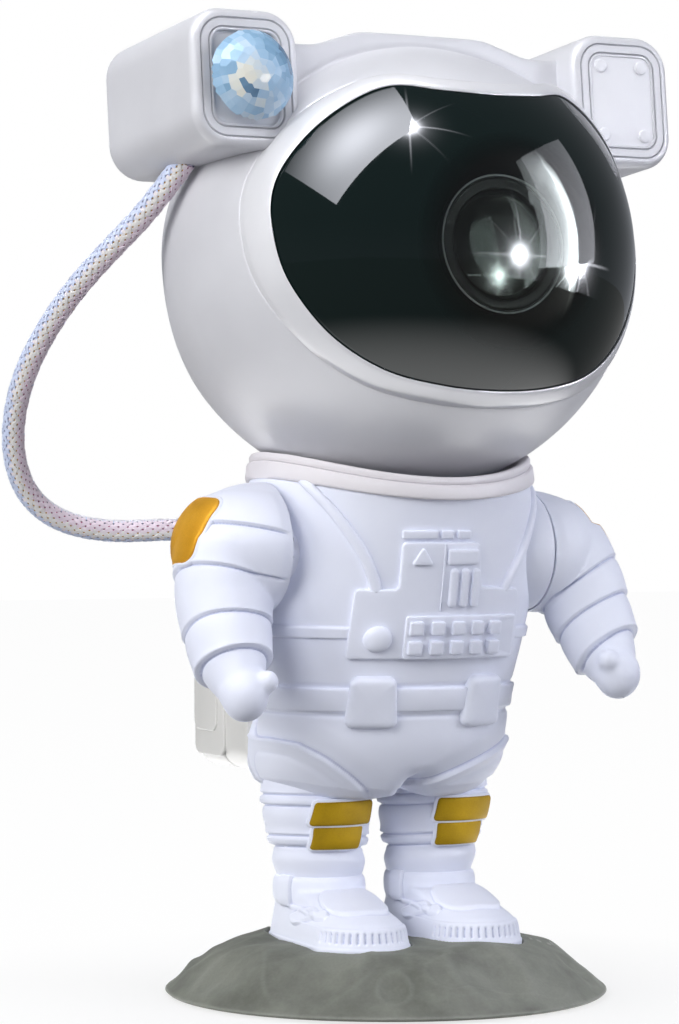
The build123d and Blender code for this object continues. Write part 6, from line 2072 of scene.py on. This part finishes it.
@dataclass
class Legs:
    """Both legs: padded rolls from the boot to the hip, with a stepped knee patch."""

    boot_x: float = 14.5
    hip_x: float = 15.4
    middle_y: float = 6.5
    low_z: float = 27.4
    top_z: float = 52.0
    radii: tuple[Pair, ...] = (
        (27.0, 9.4), (28.3, 9.9), (31.4, 10.9), (34.2, 10.7), (37.0, 11.7), (39.4, 11.9), (42.6, 12.6),
        (47.0, 12.7), (52.0, 12.2))
    creases: tuple[float, ...] = (20.0, 35.0, 37.6, 44.6, 47.2, 56.0)

    def form(self, side: Side, carved: bool) -> Piece:
        """Models one leg, plain or with its rolls."""
        turns = np.linspace(0, 2 * math.pi, 168, endpoint=False)
        rings = []
        for z in np.linspace(self.low_z, self.top_z, 180):
            share = np.clip((z - 28.3) / (47.0 - 28.3), 0, 1.2)
            x = side.value * (self.boot_x + (self.hip_x - self.boot_x) * share)
            tall = z + (0.05 * 12 * np.sin(turns) + 0.04 * 12 * side.value * -np.cos(turns))
            radius = table_lookup(self.radii, tall)[:, 0]
            if carved:
                radius = radius + rolls(tall, self.creases, 0.55, 0.7) - 0.35
            else:
                radius = radius + 0.3
            rings.append(np.column_stack([x + radius * np.cos(turns), self.middle_y + radius * np.sin(turns),
                                          np.full(len(turns), z)]))
        return loft(f"{side.word}_trouser_leg", capped(rings))

    def patch(self, side: Side, tree: BVHTree) -> tuple[Piece, Piece]:
        """Models one knee patch in two steps, and the white rim round it."""
        turn = math.radians(6.5 + 2.0 * side.value)
        out = (math.sin(turn), -math.cos(turn), 0.0)
        across = (math.cos(turn), math.sin(turn), 0.0)
        origin = (side.value * self.hip_x, self.middle_y, 0.0)
        wide = [(-7.3, 41.0), (6.8, 41.0), (7.9, 46.2), (-6.4, 46.2)]
        narrow = [(-6.4, 35.2), (4.6, 35.2), (5.4, 40.7), (-6.2, 40.7)]
        gold, white = [], []
        for corners, rise in ((narrow, 1.35), (wide, 1.75)):
            gold.append(plate("field", soften(corners, 0.8), rise, 0.4, 1.3))
            white.append(plate("rim", grown(soften(corners, 0.8), -0.65), rise - 0.35, 0.4, 1.3))
        pieces = []
        for name, parts in ((f"{side.word}_knee_badge", gold), (f"{side.word}_knee_badge_rim", white)):
            for part in parts:
                lay_on(part, tree, origin, across, (0, 0, 1), out)
            piece = join(name, parts)
            shade(piece, 50)
            pieces.append(piece)
        return pieces[0], pieces[1]

    def build(self) -> None:
        """Models and dresses both legs."""
        for side in Side:
            plain = self.form(side, False)
            tree = skin_of(plain)
            bpy.data.objects.remove(plain)
            leg = self.form(side, True)
            shade(leg)
            gold, white = self.patch(side, tree)
            hand_over(leg, Body.FIGURE, "suit_plastic", SUIT, f"{side.word}_leg")
            hand_over(gold, Body.FIGURE, "patch_gold", KNEE_GOLD, f"{side.word}_knee_patch")
            hand_over(white, Body.FIGURE, "suit_plastic", SUIT)


@dataclass
class Boots:
    """Both moon boots: a deep toe with rib slots, an instep pad, straps and a thick cuff."""

    middle_x: float = 14.5
    sole_z: float = 12.2
    heel: Pair = (10.6, 10.0)
    toe: Pair = (-16.0, 11.0)
    cuff_y: float = 6.5

    def outline(self, heel: Pair, toe: Pair) -> Array:
        """Hull of a heel circle and a toe circle, each a middle y and a radius, of 96 points."""
        (heel_y, heel_r), (toe_y, toe_r) = heel, toe
        lean = math.asin((toe_r - heel_r) / (heel_y - toe_y))
        points = []
        for turn in np.linspace(-lean, math.pi + lean, 40):
            points.append((heel_r * math.cos(turn), heel_y + heel_r * math.sin(turn)))
        for turn in np.linspace(math.pi + lean, 2 * math.pi - lean, 56):
            points.append((toe_r * math.cos(turn), toe_y + toe_r * math.sin(turn)))
        return np.array(points)

    def upper(self) -> Piece:
        """Lofts the shoe from its sole to the ankle."""
        rings = []
        for z, heel, toe in (
            (11.4, (10.6, 9.8), (-16.0, 10.8)), (13.2, (10.6, 10.0), (-16.0, 11.0)),
            (14.4, (10.4, 10.0), (-16.0, 11.1)),
            (15.2, (10.2, 9.9), (-16.0, 10.8)), (17.2, (9.7, 9.8), (-15.9, 10.6)),
            (18.6, (9.3, 9.7), (-15.6, 10.2)),
            (19.6, (9.0, 9.7), (-14.9, 9.4)), (20.5, (8.6, 9.7), (-13.2, 8.8)),
            (21.4, (8.2, 9.7), (-10.6, 8.6)),
            (22.4, (7.7, 9.7), (-7.2, 8.6)), (23.6, (7.1, 9.6), (-3.4, 8.9)), (24.8, (6.5, 9.5), (0.6, 9.0)),
        ):
            ring = self.outline(heel, toe)
            rings.append(np.column_stack([ring, np.full(len(ring), z)]))
        rings.insert(0, np.repeat(np.array([[0, -2, 11.4]]), 96, axis=0))
        rings.append(np.repeat(np.array([[0, 5, 24.8]]), 96, axis=0))
        return loft("upper", rings)

    def model(self) -> Piece:
        """Models one boot about its own middle, strap side to -X."""
        turns = np.radians(np.arange(0, 360, 6))
        cuff = []
        for radius, z in (
                (0, 21.6), (9.6, 21.6), (10.5, 22.1), (10.9, 23.2), (11.0, 25.6), (10.8, 27.3), (10.3, 28.1),
                          (9.3, 28.5), (0, 28.4)):
            cuff.append(np.column_stack([
                radius * np.cos(turns), self.cuff_y + radius * np.sin(turns), np.full(len(turns), z)]))
        piece = join("boot", [self.upper(), loft("cuff", cuff)])
        melt(piece, 0.5, 4)
        modify(piece, "SUBSURF", levels=1, subdivision_type="CATMULL_CLARK")
        emboss(piece, self.relief)
        cut_off(piece, (0, 0, self.sole_z), (0, 0, 1))
        return piece

    def relief(self, at: Array, facing: Array) -> Array:
        """Height of the toe slots, the rand, the tongue, the strap's tab and the side pads."""
        x, y, z = at.T
        turn = np.degrees(np.arctan2(x, -(y - self.toe[0] - 1.0)))
        pitch = 8.4
        nearest = np.abs((turn + pitch / 2) % pitch - pitch / 2)
        tall = smooth_step(z, 14.9, 15.5) * (1 - smooth_step(z, 17.3, 17.9))
        total = -0.6 * np.exp(-((nearest / 1.7) ** 4)) * tall * (np.abs(turn) < 78) * (y < -13)
        total += 0.35 * (1 - smooth_step(z, 18.3, 18.7)) * smooth_step(-y, -2, 6)
        total += 0.3 * (1 - smooth_step(z, 13.9, 14.3))
        tongue = 1 - (x / 7.6) ** 4 - ((y + 12.6) / 7.6) ** 2
        total += 0.95 * smooth_step(tongue, -0.02, 0.22) * (z > 18.8)
        u = 0.906 * x - 0.4226 * y
        near = smooth_step(-(0.4226 * facing[:, 0] + 0.906 * facing[:, 1]), -0.1, 0.2)
        for points, half_width, height in (
            (((-8.2, 18.8), (-6.2, 20.1), (-4.0, 21.0)), 1.15, 0.65),
            (((-3.4, 20.4), (-1.4, 20.9)), 0.8, 0.5),
            (((-9.4, 21.4), (-6.2, 21.2), (-5.0, 20.6)), 0.4, 0.4),
        ):
            gap, _ = line_distance(u, z, points)
            total += height * (
                1 - smooth_step(np.abs(gap), half_width - 0.25, half_width + 0.3)) * near * (y > -16)
        side = np.degrees(np.arctan2(x, -(y - self.cuff_y)))
        tab = np.maximum(np.abs(side + 73) / 11.0, np.abs(z - 24.9) / 3.4)
        total += 0.8 * (1 - smooth_step(tab, 0.88, 1.06)) * (np.hypot(x, y - self.cuff_y) > 8)
        return total

    def build(self) -> None:
        """Models one boot, copies it to both sides and dresses them."""
        boot = self.model()
        for side in Side:
            piece = boot.copy()
            piece.data = boot.data.copy()
            bpy.context.scene.collection.objects.link(piece)
            piece.name = f"{side.word}_moon_boot"
            sculpt(piece, lambda at: at + (side.value * self.middle_x, 0, 0))
            shade(piece, 60)
            hand_over(piece, Body.FIGURE, "suit_plastic", SUIT, f"{side.word}_boot")
        bpy.data.objects.remove(boot)


# ---------------------------------------------------------------- backpack
@dataclass
class Backpack:
    """Power pack on the back in two halves, with a stepped pocket on each side."""

    half_width: float = 28.0
    front: float = 18.0
    split: float = 33.0
    back: float = 50.0
    low_z: float = 51.6
    top_z: float = 118.0
    corner: float = 6.0
    edge: float = 3.0
    screw_x: float = 17.5
    screw_z: Pair = (59.0, 112.4)
    button_z: Triple = (98.0, 86.0, 74.0)
    inlet_z: float = 60.0

    def half(self, name: str, rear: bool) -> Piece:
        """Models one half of the box, with a soft step at the parting line."""
        middle = np.array((0, (self.low_z + self.top_z) / 2))
        height = self.top_z - self.low_z
        profile = []
        if rear:
            profile += [(CLOSE, self.split + 0.12), (1.6, self.split + 0.12), (0.3, self.split + 0.12),
                        (0.05, self.split + 0.4)]
            profile += [(0, y) for y in np.linspace(self.split + 0.8, self.back - self.edge, 14)]
            profile += rear_round(self.edge, self.back, 1)
            profile += [(6.0, self.back), (CLOSE, self.back)]
        else:
            profile += [
                (CLOSE, self.front), (1.2, self.front), (0.35, self.front + 0.35), (0, self.front + 1.2)]
            profile += [(0, y) for y in np.linspace(self.front + 2, self.split - 0.8, 12)]
            profile += [(0.05, self.split - 0.4), (0.3, self.split - 0.12), (1.6, self.split - 0.12),
                        (CLOSE, self.split - 0.12)]
        rings = loops(
            lambda inset: rounded_rectangle(2 * self.half_width, height, self.corner, inset) + middle,
            profile)
        piece = loft(name, rings)
        shade(piece, 45)
        return piece

    def pocket(self, side: Side) -> Piece:
        """Models one side's pocket: two nested plates with round lower corners."""
        parts = []
        for middle, width, height, low, rise in (
                (39.6, 17.6, 26.0, 54.4, 0.7), (40.9, 13.4, 19.0, 60.3, 1.3)):
            outline = soften([(-width / 2, -height / 2), (width / 2, -height / 2),
                              (width / 2, height / 2), (-width / 2, height / 2)], 2.8)
            part = plate("flap", outline, rise + 0.5, 0.45)
            sculpt(part, lambda at: np.column_stack([
                side.value * (self.half_width - 0.5 - at[:, 1]), middle + side.value * at[:, 0],
                low + height / 2 + at[:, 2]]))
            parts.append(part)
        piece = join(f"{side.word}_pack_pocket", parts)
        merge(piece)
        shade(piece, 45)
        return piece

    def build(self) -> None:
        """Models and dresses the pack."""
        hand_over(self.half("pack_front_half", False), Body.FIGURE, "pack_plastic", PACK, "backpack_shell")
        rear = self.half("pack_rear_half", True)
        self.drill(rear)
        hand_over(rear, Body.FIGURE, "pack_plastic", PACK, "backpack_cover")
        for side in Side:
            hand_over(self.pocket(side), Body.FIGURE, "pack_plastic", PACK)

    def drill(self, piece: Piece) -> None:
        """Sinks the screws, the buttons and the socket into the rear face."""
        cutters = []
        for x in (-self.screw_x, self.screw_x):
            for z in self.screw_z:
                cutters.append((x, z, 2.6, 2.6, 3.0))
        for z in self.button_z:
            cutters.append((0.0, z, 4.45, 4.45, 2.2))
        cutters.append((0.0, self.inlet_z, 4.6, 1.75, 2.2))
        tools = []
        for x, z, half_w, half_h, depth in cutters:
            corner = min(half_w, half_h) - 0.01
            rings = loops(
                lambda inset: rounded_rectangle(2 * half_w, 2 * half_h, corner, inset) + (x, z),
                [(CLOSE, self.back - depth), (0, self.back - depth), (0, self.back + 4),
                 (CLOSE, self.back + 4)])
            tools.append(loft("cutter", rings))
        cutter = join("cutters", tools)
        take(piece)
        modifier = piece.modifiers.new("Bores", "BOOLEAN")
        modifier.operation, modifier.object, modifier.solver = "DIFFERENCE", cutter, "EXACT"
        bpy.ops.object.modifier_apply(modifier=modifier.name)
        bpy.data.objects.remove(cutter)
        shade(piece, 40)


# ---------------------------------------------------------------- rock base
@dataclass
class RockBase:
    """Low mound of moon rock with craters, ridges and a sunk bed for each boot."""

    rim: float = 0.6
    around: int = 420
    levels: tuple[Pair, ...] = (
        (51.6, 0.6), (52.1, 1.3), (50.4, 2.6), (45.6, 6.4), (39.4, 10.9), (31.0, 13.4), (16.0, 13.9),
        (0.0, 14.0))
    craters: tuple[tuple[float, float, float, float], ...] = (
        (-81, 41.5, 8.6, 2.3), (-113.5, 45.0, 3.4, 0.8), (-136, 43.0, 8.0, 1.0), (187, 43.0, 8.0, 1.4),
        (84, 42.0, 9.0, 1.7), (22, 43.5, 7.0, 1.2), (140, 36.0, 6.0, 1.0), (-35, 45.0, 4.5, 0.8))

    def ground(self, x: Array, y: Array) -> Array:
        """Height of the noise, craters and boot beds over the plain mound."""
        lumps = np.array([
            0.8 * noise.noise(Vector((px * 0.055, py * 0.055, 3.1)))
            + 0.28 * noise.noise(Vector((px * 0.14, py * 0.14, 7.7)))
            + 0.05 * noise.noise(Vector((px * 0.42, py * 0.42, 1.3)))
            for px, py in zip(x, y)])
        ridged = np.array([
            1 - abs(noise.noise(Vector((px * 0.045 + 5.0, py * 0.045, 9.2)))) * 2.4 for px, py in zip(x, y)])
        rise = lumps + 0.7 * np.clip(ridged, 0, 1) ** 2
        for turn, out, radius, depth in self.craters:
            cx, cy = out * math.cos(math.radians(turn)), out * math.sin(math.radians(turn))
            far = np.hypot(x - cx, y - cy) / radius
            bowl = -depth * np.exp(-(far**2) * 1.6) + 0.30 * depth * np.exp(-(((far - 1.12) / 0.26) ** 2))
            rise = rise + bowl
        return rise

    def build(self) -> None:
        """Models the mound on a round grid, and dresses it."""
        boots = Boots()
        turns = np.linspace(0, 2 * math.pi, self.around, endpoint=False)
        uneven = 1 + 0.004 * np.sin(3 * turns + 0.6) + 0.004 * np.sin(5 * turns + 2.1) - 0.002
        rings = [np.column_stack([0 * turns, 0 * turns, np.full(self.around, self.rim)]),
                 np.column_stack([46 * np.cos(turns), 46 * np.sin(turns), np.full(self.around, self.rim)])]
        path = smooth_line(self.levels, 600)
        at = np.concatenate([[0], np.cumsum(np.hypot(*np.diff(path, axis=0).T))])
        for share in np.linspace(0, at[-1], 230):
            radius, z = np.interp(share, at, path[:, 0]), np.interp(share, at, path[:, 1])
            x, y = radius * uneven * np.cos(turns), radius * uneven * np.sin(turns)
            fade = float(smooth_step(np.array(z), self.rim, 5.0))
            rise = self.ground(x, y) * fade
            tall = z + rise
            for side in Side:
                bed = self.bed(x - side.value * boots.middle_x, y, boots)
                sunk = smooth_step(-bed, -0.45, 0.15)
                tall = tall * (1 - sunk) + (boots.sole_z - 0.6) * sunk
            outwards = 0.35 * rise * (1 - smooth_step(np.array(z), 6, 12))
            rings.append(np.column_stack([x + outwards * np.cos(turns), y + outwards * np.sin(turns), tall]))
        rings.append(np.repeat(rings[-1].mean(axis=0)[None], self.around, axis=0))
        piece = loft("moon_rock_mound", rings)
        shade(piece)
        hand_over(piece, Body.FIGURE, "rock", ROCK, "moon_base")

    def bed(self, x: Array, y: Array, boots: Boots) -> Array:
        """Distance outside one boot's outline."""
        heel_y, heel_r = boots.heel
        toe_y, toe_r = boots.toe
        share = np.clip((heel_y - y) / (heel_y - toe_y), 0, 1)
        middle = heel_y + (toe_y - heel_y) * share
        return np.hypot(x, y - middle) - (heel_r + (toe_r - heel_r) * share) - 0.7


# ---------------------------------------------------------------- everything in order
def main() -> None:
    """Builds the camera and the cable, then the studio, and then the figure from its head down."""
    logging.basicConfig(level=logging.INFO, format="%(message)s")
    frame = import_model()
    clear_selection()
    dress_packed_nodes(frame["nodes"])
    studio = Studio()
    studio.camera()
    Cable().build()
    studio.build()
    for assembly in (
        Helmet(), EarBoxes(), Collar(), Torso(), Arms(), Legs(), Boots(), Backpack(), RockBase(),
    ):
        assembly.build()
        LOG.info("%s done", type(assembly).__name__)


if __name__ == "__main__":
    main()
